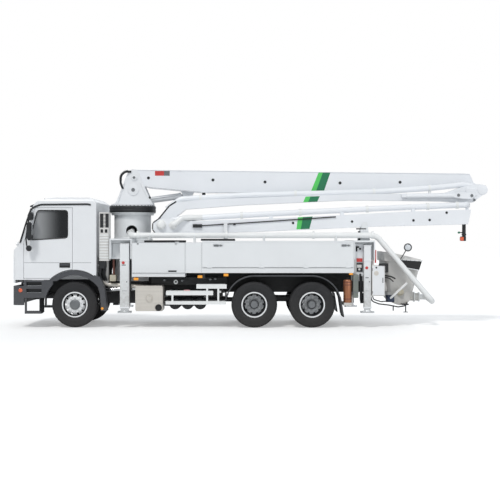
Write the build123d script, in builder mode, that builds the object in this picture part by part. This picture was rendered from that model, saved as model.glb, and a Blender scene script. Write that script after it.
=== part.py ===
from build123d import *
import math
import os

# Concrete pump truck with a three-section folding boom, standing as it parks.
# Millimetres, +Z up, front towards -X, ground at Z 0, centre line at Y 0.
# Side -1 is the driver's side (Y below 0), side 1 is the other.

os.makedirs("parts", exist_ok=True)

# Running gear
front_x = -4205.0
wheelbase = 4200.0
bogie_gap = 1350.0
hub_z = 538.0
tyre_r = 538.0
tyre_width = 314.0
rim_r = 286.0
rim_wall = 16.0
front_wheel_y = 1022.0
twin_outer_y = 1088.0
twin_inner_y = 748.0
kingpin_y = 900.0
kingpin_r = 25.0
spindle_r = 45.0
running_gap = 0.05
seat_gap = 0.3
move_gap = 8.0

# Chassis
rail_y = 380.0
rail_width = 75.0
rail_low = 800.0
rail_high = 1060.0
rail_wall = 12.0
rail_front = -1000.0
rail_rear = 7330.0
beam_half = 60.0
deck_low = 1280.0
deck_high = 2030.0
half_width = 1250.0
base_rear = 1660.0
locker_front = 1344.0
locker_rear = 2585.0
locker_low = 1190.0
locker_high = 1990.0
tray_front = 2980.0
tray_rear = 6525.0
deck_in = 480.0
deck_wall = 30.0
door_thick = 34.0
deck_out = half_width - door_thick - move_gap
strip_high = 1400.0
locker_hinges = (1470.0, 2360.0)
locker_hinge_z = 1998.0
drop_hinges = (3100.0, 4310.0, 5340.0, 6330.0)
drop_hinge_z = 1410.0
hinge_pin_r = 5.0

# Cab
cab_front = -1440.0
cab_rear = 510.0
cab_floor = 1180.0
cab_nose_low = 1045.0
cab_top = 3050.0
cab_half = 1230.0
cab_wall = 60.0
arch_lip_r = 800.0
arch_r = 690.0
arch_gap = 20.0
door_front = -1175.0
door_rear = -47.0
door_high = 2800.0
panel_gap = 8.0
glass_thick = 10.0
tilt_x = -1400.0
tilt_z = 1010.0
tilt_pin_r = 14.0
tilt_eye_r = 24.0

# Outriggers, from the front axle
front_beam_x = 1170.0
front_beam_width = 180.0
front_beam_low = 1650.0
front_beam_height = 320.0
rear_beam_x = 6845.0
rear_beam_width = 140.0
rear_beam_low = 1640.0
rear_beam_height = 290.0
beam_pitch_front = 210.0
beam_pitch_rear = 175.0
leg_low = 450.0
leg_wall = 14.0
foot_low = 345.0
foot_thick = 40.0

# Turret and boom
turret_x = 1228.0
column_r = 447.0
column_low = 2085.0
column_high = 2700.0
ring_r = 554.0
ring_high = 2870.0
root_x = 1274.0
root_z = 3572.0
root_pin_r = 50.0
knee_x = 9700.0
knee_z = 3258.0
elbow_x = 1974.0
elbow_z = 2388.0
pin_r = 45.0
boom_1_y = (-90.0, 290.0)
boom_2_y = (-445.0, -145.0)
boom_3_y = (-755.0, -475.0)
pipe_r = 66.5
lift_foot = (1500.0, 3010.0)
lift_eye = (2554.0, 3150.0)
lift_y = 100.0
lift_barrel_r = 78.0
lift_rod_r = 42.0


def fa(x):
    """A length measured back from the front axle, as a place along the truck."""
    return front_x + x


def span(side, near, far):
    """A stretch out from the centre line on one side, lowest first."""
    return tuple(sorted((side * near, side * far)))


def block(x, y, z, mode=Mode.ADD):
    """A square-edged box between two places on each axis."""
    with Locations(((x[0] + x[1]) / 2, (y[0] + y[1]) / 2, (z[0] + z[1]) / 2)):
        Box(x[1] - x[0], y[1] - y[0], z[1] - z[0], mode=mode)


def side_plate(outline, y, mode=Mode.ADD, soften=0.0):
    """An outline seen from the side, (back from the front axle, height), given a thickness."""
    low, high = sorted(y)
    with BuildSketch(Plane.XZ.offset(-high)) as face:
        Polygon(*[(fa(x), z) for x, z in outline], align=None)
        if soften:
            fillet(face.vertices(), soften)
    extrude(face.sketch, amount=high - low, dir=(0, -1, 0), mode=mode)


def cross_pin(x, z, r, y, mode=Mode.ADD):
    """A round bar or bore lying across the truck."""
    low, high = sorted(y)
    with BuildSketch(Plane.XZ.offset(-high)) as face:
        with Locations((fa(x), z)):
            Circle(r)
    extrude(face.sketch, amount=high - low, dir=(0, -1, 0), mode=mode)


def round_post(x, y, z, r, mode=Mode.ADD):
    """An upright round bar or bore."""
    with BuildSketch(Plane.XY.offset(z[0])) as face:
        with Locations((fa(x), y)):
            Circle(r)
    extrude(face.sketch, amount=z[1] - z[0], dir=(0, 0, 1), mode=mode)


def turned(x, section, z=hub_z):
    """A section of (y, radius) turned about the cross axis at one axle."""
    with BuildSketch(Plane.YZ.offset(fa(x))) as face:
        Polygon(*[(y, z + r) for y, r in section], align=None)
    revolve(face.sketch, axis=Axis((fa(x), 0, z), (0, 1, 0)))


def tube(points, bends, r):
    """A round pipe along straight runs joined by bends; x is from the front axle."""
    route = [(fa(x), y, z) for x, y, z in points]
    with BuildLine() as path:
        if bends:
            FilletPolyline(*route, radius=bends)
        else:
            Polyline(*route)
    with BuildSketch(Plane(origin=path.line @ 0, z_dir=path.line % 0)) as end:
        Circle(r)
    sweep(end.sketch, path=path.line)


def save(part, name):
    part.label = name
    export_step(part, f"parts/{name}.step")


# Chassis frame: two channel rails, cross members, springs and their hangers
cross_members = (-900.0, 700.0, 2000.0, 3300.0, 4875.0, 6300.0, 7250.0)
with BuildPart() as chassis:
    for side in (-1, 1):
        with BuildSketch(Plane.YZ.offset(fa(rail_front))):
            low, high = span(side, rail_y, rail_y + rail_width)
            with Locations(((low + high) / 2, (rail_low + rail_high) / 2)):
                Rectangle(rail_width, rail_high - rail_low)
            with Locations(((low + high) / 2 - side * rail_wall, (rail_low + rail_high) / 2)):
                Rectangle(rail_width, rail_high - rail_low - 2 * rail_wall, mode=Mode.SUBTRACT)
        extrude(amount=rail_rear - rail_front)
    for x in cross_members:
        block((fa(x - 40), fa(x + 40)), (-rail_y - rail_width + rail_wall, rail_y + rail_width - rail_wall),
              (rail_low + 40, rail_high - 60))
    spring_half = 760.0
    spring_low = hub_z + beam_half + seat_gap
    bogie_half = bogie_gap / 2 + 90
    sag = rail_low - 40 - spring_low
    leaf_r = (bogie_half ** 2 + sag ** 2) / (2 * sag)
    spring_seat = spring_low + leaf_r - math.sqrt(leaf_r ** 2 - (bogie_gap / 2 - 45) ** 2) - seat_gap
    for side in (-1, 1):
        low, high = span(side, rail_y, rail_y + rail_width)
        for x, half in ((0.0, spring_half), (wheelbase + bogie_gap / 2, bogie_half)):
            with BuildSketch(Plane.XZ.offset(-high)):
                with BuildLine():
                    bottom = ThreePointArc((fa(x - half), rail_low - 40), (fa(x), spring_low),
                                           (fa(x + half), rail_low - 40))
                    Line(bottom @ 1, (fa(x + half), rail_low + 20))
                    ThreePointArc((fa(x + half), rail_low + 20), (fa(x), spring_low + 85),
                                  (fa(x - half), rail_low + 20))
                    Line((fa(x - half), rail_low + 20), bottom @ 0)
                make_face()
            extrude(amount=rail_width)
    for side in (-1, 1):
        block((fa(base_rear + 5), fa(tray_rear)), span(side, rail_y, rail_y + rail_width), (rail_high - 1, deck_low))
    for x in (1800, 2900, 4000, 5000, 6200):
        block((fa(x), fa(x + 90)), (-deck_in, deck_in), (deck_low - 90, deck_low))
    block((fa(base_rear + 5), fa(tray_rear)), (-rail_y, rail_y), (deck_low - 8, deck_low))
save(chassis.part, "chassis_frame")

# Axles: a forged front beam with kingpin eyes, two driven rear axles and the shafts between
beam_eye_r = 62.0
beam_eye_z = (hub_z - 75, hub_z + 75)
rear_hubs = (wheelbase, wheelbase + bogie_gap)
with BuildPart() as axles:
    block((fa(-55), fa(55)), (-kingpin_y, kingpin_y), (hub_z - beam_half, hub_z + beam_half))
    block((fa(-60), fa(-25)), (-kingpin_y + 120, kingpin_y - 120), (hub_z - 35, hub_z + 35), Mode.SUBTRACT)
    block((fa(25), fa(60)), (-kingpin_y + 120, kingpin_y - 120), (hub_z - 35, hub_z + 35), Mode.SUBTRACT)
    for side in (-1, 1):
        round_post(0, side * kingpin_y, beam_eye_z, beam_eye_r)
        round_post(0, side * kingpin_y, beam_eye_z, kingpin_r + running_gap, Mode.SUBTRACT)
    for x in rear_hubs:
        for side in (-1, 1):
            block((fa(x - 45), fa(x + 45)), span(side, rail_y, rail_y + rail_width), (hub_z + 80, spring_seat))
        turned(x, ((-1130, 0), (-1130, spindle_r), (-640, spindle_r), (-600, 85), (-330, 95), (-180, 235),
                   (180, 235), (330, 95), (600, 85), (640, spindle_r), (1130, spindle_r), (1130, 0)))
    with BuildSketch(Plane.YZ.offset(fa(1350))):
        with Locations((0, hub_z + 60)):
            Circle(55)
    extrude(amount=wheelbase - 1350 - 180)
    with BuildSketch(Plane.YZ.offset(fa(wheelbase + 180))):
        with Locations((0, hub_z + 60)):
            Circle(50)
    extrude(amount=bogie_gap - 360)
save(axles.part, "axles")

# Engine and gearbox as plain blocks between the rails
with BuildPart() as engine:
    block((fa(-850), fa(420)), (-360, 360), (640, 1110))
    block((fa(420), fa(1350)), (-190, 190), (hub_z - 20, hub_z + 290))
save(engine.part, "engine")

# Steering knuckles: a fork over the beam's eye, its pin, and the wheel's spindle
for side, hand in ((-1, "left"), (1, "right")):
    with BuildPart() as knuckle:
        for low, high in ((beam_eye_z[1] + seat_gap, beam_eye_z[1] + 40), (beam_eye_z[0] - 40, beam_eye_z[0] - seat_gap)):
            round_post(0, side * kingpin_y, (low, high), beam_eye_r)
            block((fa(-45), fa(45)), span(side, kingpin_y, kingpin_y + 105), (low, high))
        round_post(0, side * kingpin_y, (beam_eye_z[0] - 40, beam_eye_z[1] + 40), kingpin_r)
        block((fa(-60), fa(60)), span(side, kingpin_y + 80, kingpin_y + 112), (beam_eye_z[0] - 40, beam_eye_z[1] + 40))
        cross_pin(0, hub_z, spindle_r, span(side, kingpin_y + 112, front_wheel_y + 120))
        block((fa(60), fa(230)), span(side, kingpin_y + 80, kingpin_y + 105), (hub_z - 60, hub_z - 30))
    save(knuckle.part, f"knuckle_{hand}")

# Tyres: a solid ring with rounded shoulders and a bulged side wall
bead = 118.0
side_bulge = tyre_width / 2


def tyre_ring(x, y):
    """One tyre about the cross axis at an axle, its middle at y."""
    turned(x, ((y - bead, rim_r), (y - side_bulge, 400), (y - side_bulge + 3, 460), (y - side_bulge + 24, 516),
               (y - side_bulge + 52, tyre_r - 3), (y, tyre_r), (y + side_bulge - 52, tyre_r - 3),
               (y + side_bulge - 24, 516), (y + side_bulge - 3, 460), (y + side_bulge, 400), (y + bead, rim_r)))


band_half = 130.0
band_in = rim_r - rim_wall


def rim_band(x, y):
    """The band that a tyre sits on, with a flange at each edge."""
    turned(x, ((y - band_half - 10, band_in), (y - band_half - 10, rim_r + 14), (y - band_half, rim_r + 14),
               (y - band_half, rim_r), (y + band_half, rim_r), (y + band_half, rim_r + 14),
               (y + band_half + 10, rim_r + 14), (y + band_half + 10, band_in)))


hand_hole_r = 26.0
hand_hole_ring = 218.0
hand_holes = 10


def hand_hole_cut(x, y_low, y_high):
    """The ring of round holes through a wheel's disc."""
    with BuildSketch(Plane.XZ.offset(-y_high)) as holes:
        with Locations((fa(x), hub_z)):
            with PolarLocations(hand_hole_ring, hand_holes):
                Circle(hand_hole_r)
    extrude(holes.sketch, amount=y_high - y_low, dir=(0, -1, 0), mode=Mode.SUBTRACT)


# Front wheels: one tyre, a rim with a bulged disc and its hub
for side, hand in ((-1, "left"), (1, "right")):
    with BuildPart() as tyre:
        tyre_ring(0, side * front_wheel_y)
    save(tyre.part, f"front_tyre_{hand}")
    with BuildPart() as rim:
        y = side * front_wheel_y
        rim_band(0, y)
        turned(0, ((y + side * 30, band_in + 2), (y + side * 46, band_in + 2), (y + side * 108, 188),
                   (y + side * 108, 90), (y + side * 92, 90), (y + side * 92, 180)))
        low, high = span(side, front_wheel_y + 20, front_wheel_y + 125)
        hand_hole_cut(0, low, high)
        turned(0, ((y + side * 5, spindle_r + running_gap), (y + side * 5, 100), (y + side * 100, 118),
                   (y + side * 128, 105), (y + side * 146, 70), (y + side * 150, 0),
                   (y + side * 124, 0), (y + side * 124, spindle_r + running_gap)))
    save(rim.part, f"front_rim_{hand}")

# Twin rear wheels: two tyres, and two dished rims bolted face to face on one hub
for x, axle in zip(rear_hubs, (1, 2)):
    for side, hand in ((-1, "left"), (1, "right")):
        with BuildPart() as tyre:
            for y in (twin_outer_y, twin_inner_y):
                tyre_ring(x, side * y)
        save(tyre.part, f"rear_tyres_{axle}_{hand}")
        with BuildPart() as rim:
            middle = (twin_outer_y + twin_inner_y) / 2
            for y, way in ((twin_outer_y, 1), (twin_inner_y, -1)):
                rim_band(x, side * y)
                face = side * middle
                out = side * way
                turned(x, ((face, 120), (face, 190), (face + out * 95, band_in + 2), (face + out * 112, band_in + 2),
                           (face + out * 16, 178), (face + out * 16, 120)))
            hand_hole_cut(x, *span(side, middle - 130, middle + 130))
            turned(x, ((side * 700, spindle_r + running_gap), (side * 700, 130), (side * 990, 130),
                       (side * 1010, 105), (side * 1130, 95), (side * 1160, 80), (side * 1165, 0),
                       (side * 1132, 0), (side * 1132, spindle_r + running_gap)))
        save(rim.part, f"rear_rims_{axle}_{hand}")

# Cab shell: one outline carried across, hollowed, with wheel arches, door ways, glass ways and grille
screen_foot = (-1250.0, 1970.0)
screen_head = (-960.0, 2850.0)
cab_outline = ((cab_front, cab_nose_low), (cab_front, 1500), (cab_front + 20, 1820), screen_foot, screen_head,
               (-880, 2950), (-620, 3030), (-300, cab_top), (360, cab_top - 10), (cab_rear, 2930),
               (cab_rear, cab_floor - cab_wall), (cab_front + 62, cab_floor - cab_wall),
               (cab_front + 62, cab_nose_low))
door_outline = ((door_front, 1155), (door_rear, 1155), (door_rear, door_high), (-905, door_high),
                (door_front, 1990))
window_outline = ((-1030, 2050), (-154, 2100), (-154, 2740), (-862, 2740))
screen_half = 1090.0
screen_low = 2010.0
screen_high = 2800.0
arch_box_y = 820.0
cab_corner = 130.0


def on_screen(z, depth):
    """A place on the windscreen's slope at a height, let in by a depth."""
    run = (screen_head[0] - screen_foot[0]) / (screen_head[1] - screen_foot[1])
    return (screen_foot[0] + (z - screen_foot[1]) * run + depth * math.hypot(1, run), z)


def arch_plate(r, y, mode=Mode.ADD, low=cab_floor - cab_wall):
    """The upper part of a disc about the front axle, above a height."""
    with BuildSketch(Plane.XZ.offset(-max(y))) as face:
        with Locations((fa(0), hub_z)):
            Circle(r)
        with Locations((fa(0), low - 1000)):
            Rectangle(4000, 2000, mode=Mode.SUBTRACT)
    extrude(face.sketch, amount=max(y) - min(y), dir=(0, -1, 0), mode=mode)


with BuildPart() as cab:
    side_plate(cab_outline, (-cab_half, cab_half))
    with BuildSketch(Plane.XY.offset(cab_nose_low - 50)):
        with Locations((fa((cab_front + cab_rear + 400) / 2), 0)):
            RectangleRounded(cab_rear + 400 - cab_front, 2 * cab_half, cab_corner)
    extrude(amount=cab_top, mode=Mode.INTERSECT)
    with BuildSketch(Plane.YZ.offset(fa(cab_front - 50))):
        with Locations((0, cab_top - 2000)):
            RectangleRounded(2 * cab_half, 4000, cab_corner)
    extrude(amount=cab_rear - cab_front + 100, mode=Mode.INTERSECT)
    with BuildSketch(Plane.XZ.offset(-(cab_half - cab_wall))) as inside:
        Polygon(*[(fa(x), z) for x, z in cab_outline], align=None)
        offset(amount=-cab_wall, kind=Kind.INTERSECTION, mode=Mode.REPLACE)
    extrude(inside.sketch, amount=2 * (cab_half - cab_wall), dir=(0, -1, 0), mode=Mode.SUBTRACT)
    for side in (-1, 1):
        arch_plate(arch_lip_r + arch_gap + 25, span(side, arch_box_y - 25, cab_half - cab_wall))
        arch_plate(arch_lip_r + arch_gap, span(side, arch_box_y, cab_half + 100), Mode.SUBTRACT, low=900)
        block((fa(cab_rear), fa(cab_rear + 400)), span(side, 0, cab_half + 100), (cab_nose_low, cab_top), Mode.SUBTRACT)
        with BuildSketch(Plane.XZ.offset(-max(span(side, cab_half - cab_wall, cab_half + 5)))) as way:
            Polygon(*[(fa(x), z) for x, z in door_outline], align=None)
            offset(amount=panel_gap, kind=Kind.INTERSECTION, mode=Mode.REPLACE)
        extrude(way.sketch, amount=cab_wall + 5, dir=(0, -1, 0), mode=Mode.SUBTRACT)
    side_plate((on_screen(screen_low, -200), on_screen(screen_high, -200), on_screen(screen_high, cab_wall + 60),
                on_screen(screen_low, cab_wall + 60)), (-screen_half, screen_half), Mode.SUBTRACT)
    block((fa(cab_rear - cab_wall - 5), fa(cab_rear + 5)), (-560, 560), (2180, 2700), Mode.SUBTRACT)
    grille_low = 1240.0
    grille_pitch = 92.0
    for row in range(6):
        block((fa(cab_front - 5), fa(cab_front + 34)), (-860, 860),
              (grille_low + row * grille_pitch, grille_low + row * grille_pitch + 56), Mode.SUBTRACT)
    for side in (-1, 1):
        y = span(side, 300, 340)
        block((fa(tilt_x - tilt_eye_r), fa(tilt_x + tilt_eye_r)), y, (tilt_z, cab_nose_low + 30))
        cross_pin(tilt_x, tilt_z, tilt_eye_r, y)
        cross_pin(tilt_x, tilt_z, tilt_pin_r + running_gap, y, Mode.SUBTRACT)
save(cab.part, "cab_shell")

with BuildPart() as cab_glass:
    side_plate((on_screen(screen_low, 14), on_screen(screen_high, 14), on_screen(screen_high, 14 + glass_thick),
                on_screen(screen_low, 14 + glass_thick)), (-screen_half, screen_half))
    block((fa(cab_rear - 35), fa(cab_rear - 35 + glass_thick)), (-560, 560), (2180, 2700))
save(cab_glass.part, "cab_glass")

# Cab inside: two seats on boxes, a dash across the front wall, wheel and column
with BuildPart() as interior:
    for side in (-1, 1):
        low, high = span(side, 300, 780)
        block((fa(-480), fa(20)), (low + 60, high - 60), (cab_floor + seat_gap, 1500))
        side_plate(((-560, 1500), (60, 1500), (130, 2260), (20, 2260), (-40, 1630), (-560, 1630)), (low, high), soften=20)
    side_plate(((cab_front + cab_wall + seat_gap, 1500), (-1040, 1500), (-1000, 1860), (-1130, 1900),
                (cab_front + cab_wall + 40 + seat_gap, 1800)), (-1100, 1100), soften=8)
    with BuildSketch(Plane(origin=(fa(-930), -600, 1880), z_dir=(0.62, 0, 0.78))) as ring:
        Circle(235)
        Circle(205, mode=Mode.SUBTRACT)
        Rectangle(30, 430)
    extrude(ring.sketch, amount=28, dir=(0.62, 0, 0.78))
    tube(((-925, -600, 1885), (-1030, -600, 1750)), 0, 30)
save(interior.part, "cab_interior")

# Doors with their windows cut, hinged at the front edge; glass and mirrors
mirror_y = cab_half + 160.0
for side, hand in ((-1, "left"), (1, "right")):
    with BuildPart() as door:
        y = span(side, cab_half - cab_wall, cab_half)
        side_plate(door_outline, y)
        arch_plate(arch_lip_r + arch_gap + panel_gap, (y[0] - 5, y[1] + 5), Mode.SUBTRACT, low=900)
        side_plate(window_outline, (y[0] - 5, y[1] + 5), Mode.SUBTRACT, soften=30)
    save(door.part, f"door_{hand}")
    with BuildPart() as pane:
        side_plate(window_outline, span(side, cab_half - 34, cab_half - 34 + glass_thick), soften=30)
    save(pane.part, f"door_glass_{hand}")
    with BuildPart() as mirror:
        arm_x = -985.0
        tube(((arm_x, side * cab_half, 2770), (arm_x, side * mirror_y, 2770), (arm_x - 60, side * mirror_y, 1830),
              (arm_x - 60, side * cab_half, 1830)), (40, 40), 16)
        for low, high in ((2050, 2460), (2520, 2700)):
            with BuildSketch(Plane.XY.offset(low)) as head:
                with Locations((fa(arm_x + 15), side * (mirror_y + 10))):
                    RectangleRounded(105, 225, 28)
            extrude(head.sketch, amount=high - low, dir=(0, 0, 1))
    save(mirror.part, f"mirror_{hand}")

# Dark lower cab trim on the chassis: bumper, steps, arch lips and the flaps behind the wheels
bumper_high = 978.0
bumper_low = 530.0
trim_half = 1240.0
trim_high = cab_floor - cab_wall - move_gap
with BuildPart() as trim:
    with BuildSketch(Plane.XY.offset(bumper_low)) as shell:
        with Locations((fa(cab_front + 500), 0)):
            RectangleRounded(1000, 2 * trim_half, 130)
        with Locations((fa(cab_front + 570), 0)):
            RectangleRounded(1000, 2 * trim_half - 140, 80, mode=Mode.SUBTRACT)
        with Locations((fa(door_front + 1000), 0)):
            Rectangle(2000, 3000, mode=Mode.SUBTRACT)
    extrude(shell.sketch, amount=bumper_high - bumper_low, dir=(0, 0, 1))
    block((fa(cab_front - 10), fa(cab_front + 45)), (-620, 620), (bumper_low + 90, bumper_low + 240), Mode.SUBTRACT)
    for side in (-1, 1):
        block((fa(tilt_x - tilt_eye_r), fa(tilt_x + tilt_eye_r)), span(side, 341, 372), (bumper_high - 60, tilt_z + 15))
        cross_pin(tilt_x, tilt_z, tilt_pin_r, span(side, 296, 345))
        block((fa(cab_front - 10), fa(cab_front + 60)), span(side, 790, 1090), (bumper_low + 110, bumper_low + 310), Mode.SUBTRACT)
        block((fa(rail_front - 370), fa(rail_front)), span(side, rail_y, rail_y + rail_width), (rail_low, bumper_high - 60))
        y = span(side, trim_half - 110, trim_half)
        side_plate(((door_front, 700), (-500, 700), (-500, trim_high), (door_front, trim_high)), y)
        arch_plate(arch_r, (y[0] - 5, y[1] + 5), Mode.SUBTRACT, low=500)
        for z in (820, 980):
            block((fa(door_front + 60), fa(-760)), span(side, trim_half - 80, trim_half + 5), (z, z + 90), Mode.SUBTRACT)
        side_plate(((-1156, 330), (-770, 330), (-770, 382), (-1156, 382)), span(side, trim_half - 260, trim_half - 10))
        side_plate(((-1156, 330), (-1110, 330), (-1110, 705), (-1156, 705)), span(side, trim_half - 60, trim_half - 20))
        side_plate(((-816, 330), (-770, 330), (-770, 705), (-816, 705)), span(side, trim_half - 60, trim_half - 20))
        block((fa(-1150), fa(-690)), span(side, rail_y + rail_width, trim_half - 105), (720, 790))
        block((fa(-1150), fa(-1040)), span(side, rail_y, trim_half - 40), (720, 790))
        with BuildSketch(Plane.XZ.offset(-max(y))) as lip:
            with Locations((fa(0), hub_z)):
                Circle(arch_lip_r)
                Circle(arch_r, mode=Mode.SUBTRACT)
            with Locations((fa(0), trim_high - 20 - 1000)):
                Rectangle(4000, 2000, mode=Mode.SUBTRACT)
            with Locations((fa(-700 - 1000), hub_z)):
                Rectangle(2000, 4000, mode=Mode.SUBTRACT)
        extrude(lip.sketch, amount=max(y) - min(y), dir=(0, -1, 0))
        side_plate(((330, trim_high), (640, trim_high), (760, 395), (715, 395), (640, 700), (500, 1020)), y)
        arch_plate(arch_r, (y[0] - 5, y[1] + 5), Mode.SUBTRACT, low=380)
        block((fa(600), fa(640)), span(side, rail_y + rail_width, trim_half - 105), (990, 1055))
save(trim.part, "cab_lower_trim")

# Head lamps in the bumper, tail lamps on the rear guards, side markers, beacons
with BuildPart() as lamps:
    for side in (-1, 1):
        y = span(side, 790 + seat_gap, 1090 - seat_gap)
        block((fa(cab_front + 10), fa(cab_front + 60 - seat_gap)), y,
              (bumper_low + 110 + seat_gap, bumper_low + 310 - seat_gap))
save(lamps.part, "head_lamps")

# Air intake stack behind the cab
with BuildPart() as intake:
    block((fa(560), fa(800)), (-1130, -790), (1560, 2700))
    fillet(intake.edges().filter_by(Axis.Z), 40)
    for z in (2340, 2430, 2520, 2610):
        block((fa(590), fa(770)), (-1135, -1105), (z, z + 60), Mode.SUBTRACT)
    block((fa(680), fa(760)), (-900, -rail_y - rail_width), (rail_high - 60, rail_high - 1))
    block((fa(680), fa(760)), (-960, -840), (rail_high - 60, 1560))
save(intake.part, "air_intake")

# Exhaust: a silencer box on the left rail and the pipe down to it
silencer_x = (1420.0, 2060.0)
silencer_y = (-1190.0, -640.0)
silencer_z = (385.0, 980.0)
with BuildPart() as silencer:
    block((fa(silencer_x[0]), fa(silencer_x[1])), silencer_y, silencer_z)
    fillet(silencer.edges().filter_by(Axis.Y), 45)
    cross_pin((silencer_x[0] + silencer_x[1]) / 2, 690, 62, (silencer_y[0] - 14, silencer_y[0]))
    cross_pin(silencer_x[1] - 95, silencer_z[0] + 85, 75, (silencer_y[0] - 30, silencer_y[0] + 60))
    cross_pin(silencer_x[1] - 95, silencer_z[0] + 85, 62, (silencer_y[0] - 40, silencer_y[0] + 60), Mode.SUBTRACT)
    block((fa(silencer_x[0] + 100), fa(silencer_x[0] + 160)), (silencer_y[1], -rail_y - rail_width), (850, 930))
    block((fa(silencer_x[1] - 160), fa(silencer_x[1] - 100)), (silencer_y[1], -rail_y - rail_width), (850, 930))
    tube(((silencer_x[0] + 60, -900, 905), (1250, -900, 905), (800, -900, 880), (520, -700, 880),
          (520, -520, 880)), (120, 160, 100), 45)
save(silencer.part, "silencer")

# Fuel tank and battery box on the right rail
with BuildPart() as tank:
    with BuildSketch(Plane.YZ.offset(fa(1420))) as end:
        with Locations(((1200 + 620) / 2, 690)):
            RectangleRounded(580, 600, 110)
    extrude(end.sketch, amount=1500, dir=(1, 0, 0))
    for x in (1620, 2700):
        block((fa(x), fa(x + 60)), (rail_y + rail_width, 640), (840, 930))
    round_post(1700, 930, (980, 1025), 60)
save(tank.part, "fuel_tank")

# Three air bottles lying across on the left, carried by a hanger each
bottle_x = (2340.0, 2635.0, 2930.0)
bottle_z = 560.0
bottle_r = 138.0
with BuildPart() as bottles:
    for x in bottle_x:
        with BuildSketch(Plane.YZ.offset(fa(x))) as half:
            Polygon((-1160, bottle_z), (-1155, bottle_z + 60), (-1120, bottle_z + bottle_r - 20),
                    (-1070, bottle_z + bottle_r), (-590, bottle_z + bottle_r), (-540, bottle_z + bottle_r - 20),
                    (-505, bottle_z + 60), (-500, bottle_z), align=None)
        revolve(half.sketch, axis=Axis((fa(x), 0, bottle_z), (0, 1, 0)))
        block((fa(x - 25), fa(x + 25)), (-700, -rail_y - rail_width), (bottle_z + 90, bottle_z + 300))
save(bottles.part, "air_bottles")

# Pedestal: a base on the rails, the cross housing of the front outriggers and the column
base_front = 800.0
housing_front = 820.0
housing_rear = 1340.0
housing_low = 1605.0
housing_half = 1030.0
shroud_half = 1235.0
hole_x = 1250.0
hole_z = 2270.0
hole_r = 135.0
line_z = 2160.0
line_y = -900.0


def beam_ways(centre, pitch, width, low, height, half):
    """The two side-by-side ways through a cross housing for its outrigger beams."""
    for x in (centre, centre - pitch):
        block((fa(x - width / 2 - 6), fa(x + width / 2 + 6)), (-half, half),
              (low - seat_gap, low + height + 8), Mode.SUBTRACT)


with BuildPart() as pedestal:
    with BuildSketch(Plane.XY.offset(rail_high)):
        with Locations((fa((base_front + base_rear) / 2), 0)):
            Rectangle(base_rear - base_front, 2 * (rail_y + rail_width))
    with BuildSketch(Plane.XY.offset(column_low)):
        with Locations((fa(turret_x), 0)):
            Rectangle(2 * column_r, 2 * column_r)
    loft()
    block((fa(housing_front), fa(housing_rear)), (-housing_half, housing_half), (housing_low, column_low))
    for side in (-1, 1):
        y = span(side, housing_half, shroud_half)
        block((fa(housing_front), fa(housing_rear)), y, (column_low - 40, column_low))
        for x in (housing_front, housing_rear - 30):
            block((fa(x), fa(x + 30)), y, (housing_low, column_low - 40))
    round_post(turret_x, 0, (column_low, column_high), column_r)
    round_post(turret_x, 0, (column_high - 45, column_high), ring_r - 40)
    cross_pin(hole_x, hole_z, hole_r, (-column_r - 20, 0), Mode.SUBTRACT)
    beam_ways(front_beam_x, beam_pitch_front, front_beam_width, front_beam_low, front_beam_height, shroud_half + 10)
save(pedestal.part, "pedestal")

# Turret: the toothed slewing ring, a base plate and two tapered cheeks with a front web, carrying the boom's root pin
cheek = 38.0
cheeks_y = ((boom_1_y[0] - seat_gap - cheek, boom_1_y[0] - seat_gap), (boom_1_y[1] + seat_gap, boom_1_y[1] + seat_gap + cheek))
with BuildPart() as turret:
    round_post(turret_x, 0, (column_high + seat_gap, ring_high), ring_r)
    with BuildSketch(Plane.XY.offset(column_high + seat_gap)) as notch:
        with Locations((fa(turret_x), 0)):
            with PolarLocations(ring_r + 4, 48):
                Rectangle(16, 26)
    extrude(notch.sketch, amount=90, dir=(0, 0, 1), mode=Mode.SUBTRACT)
    round_post(turret_x, 0, (ring_high, ring_high + 45), ring_r - 30)
    for y in cheeks_y:
        side_plate(((780, ring_high + 40), (1745, ring_high + 40), (1660, 3060), (1440, 3560), (1400, 3700), (1330, 3770),
                    (1210, 3770), (1130, 3710), (1040, 3500), (850, 3010)), y, soften=18)
        cross_pin(root_x, root_z, 95, (y[0], y[1] + 12) if y[0] > 0 else (y[0] - 6, y[1]))
    cross_pin(root_x - 20, root_z - 300, 130, (cheeks_y[0][0] - 8, cheeks_y[0][0]))
    side_plate(((850, ring_high + 40), (905, ring_high + 40), (985, 3180), (940, 3180)), (cheeks_y[0][1], cheeks_y[1][0]))
    cross_pin(root_x, root_z, root_pin_r, (cheeks_y[0][0], cheeks_y[1][1]))
    cross_pin(lift_foot[0], lift_foot[1], 32, (cheeks_y[0][1], cheeks_y[1][0]))
save(turret.part, "turret")

# Lift cylinder: barrel on the turret's lower pin, rod up to the first section
rise = math.atan2(lift_eye[1] - lift_foot[1], lift_eye[0] - lift_foot[0])
lift_length = math.hypot(lift_eye[1] - lift_foot[1], lift_eye[0] - lift_foot[0])
lift_way = (math.cos(rise), 0, math.sin(rise))
barrel_end = lift_length - 150


def on_lift(d):
    """A place along the lift cylinder, measured from its foot pin."""
    return (fa(lift_foot[0] + d * lift_way[0]), lift_y, lift_foot[1] + d * lift_way[2])


with BuildPart() as barrel:
    with BuildSketch(Plane(origin=on_lift(70), z_dir=lift_way)) as end:
        Circle(lift_barrel_r)
    extrude(end.sketch, amount=barrel_end - 70, dir=lift_way)
    cross_pin(lift_foot[0], lift_foot[1], 75, (lift_y - 45, lift_y + 45))
    cross_pin(lift_foot[0], lift_foot[1], 32 + running_gap, (lift_y - 45, lift_y + 45), Mode.SUBTRACT)
    with BuildSketch(Plane(origin=on_lift(100), z_dir=lift_way)) as bore:
        Circle(lift_rod_r + running_gap)
    extrude(bore.sketch, amount=barrel_end - 100, dir=lift_way, mode=Mode.SUBTRACT)
save(barrel.part, "lift_barrel")

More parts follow.
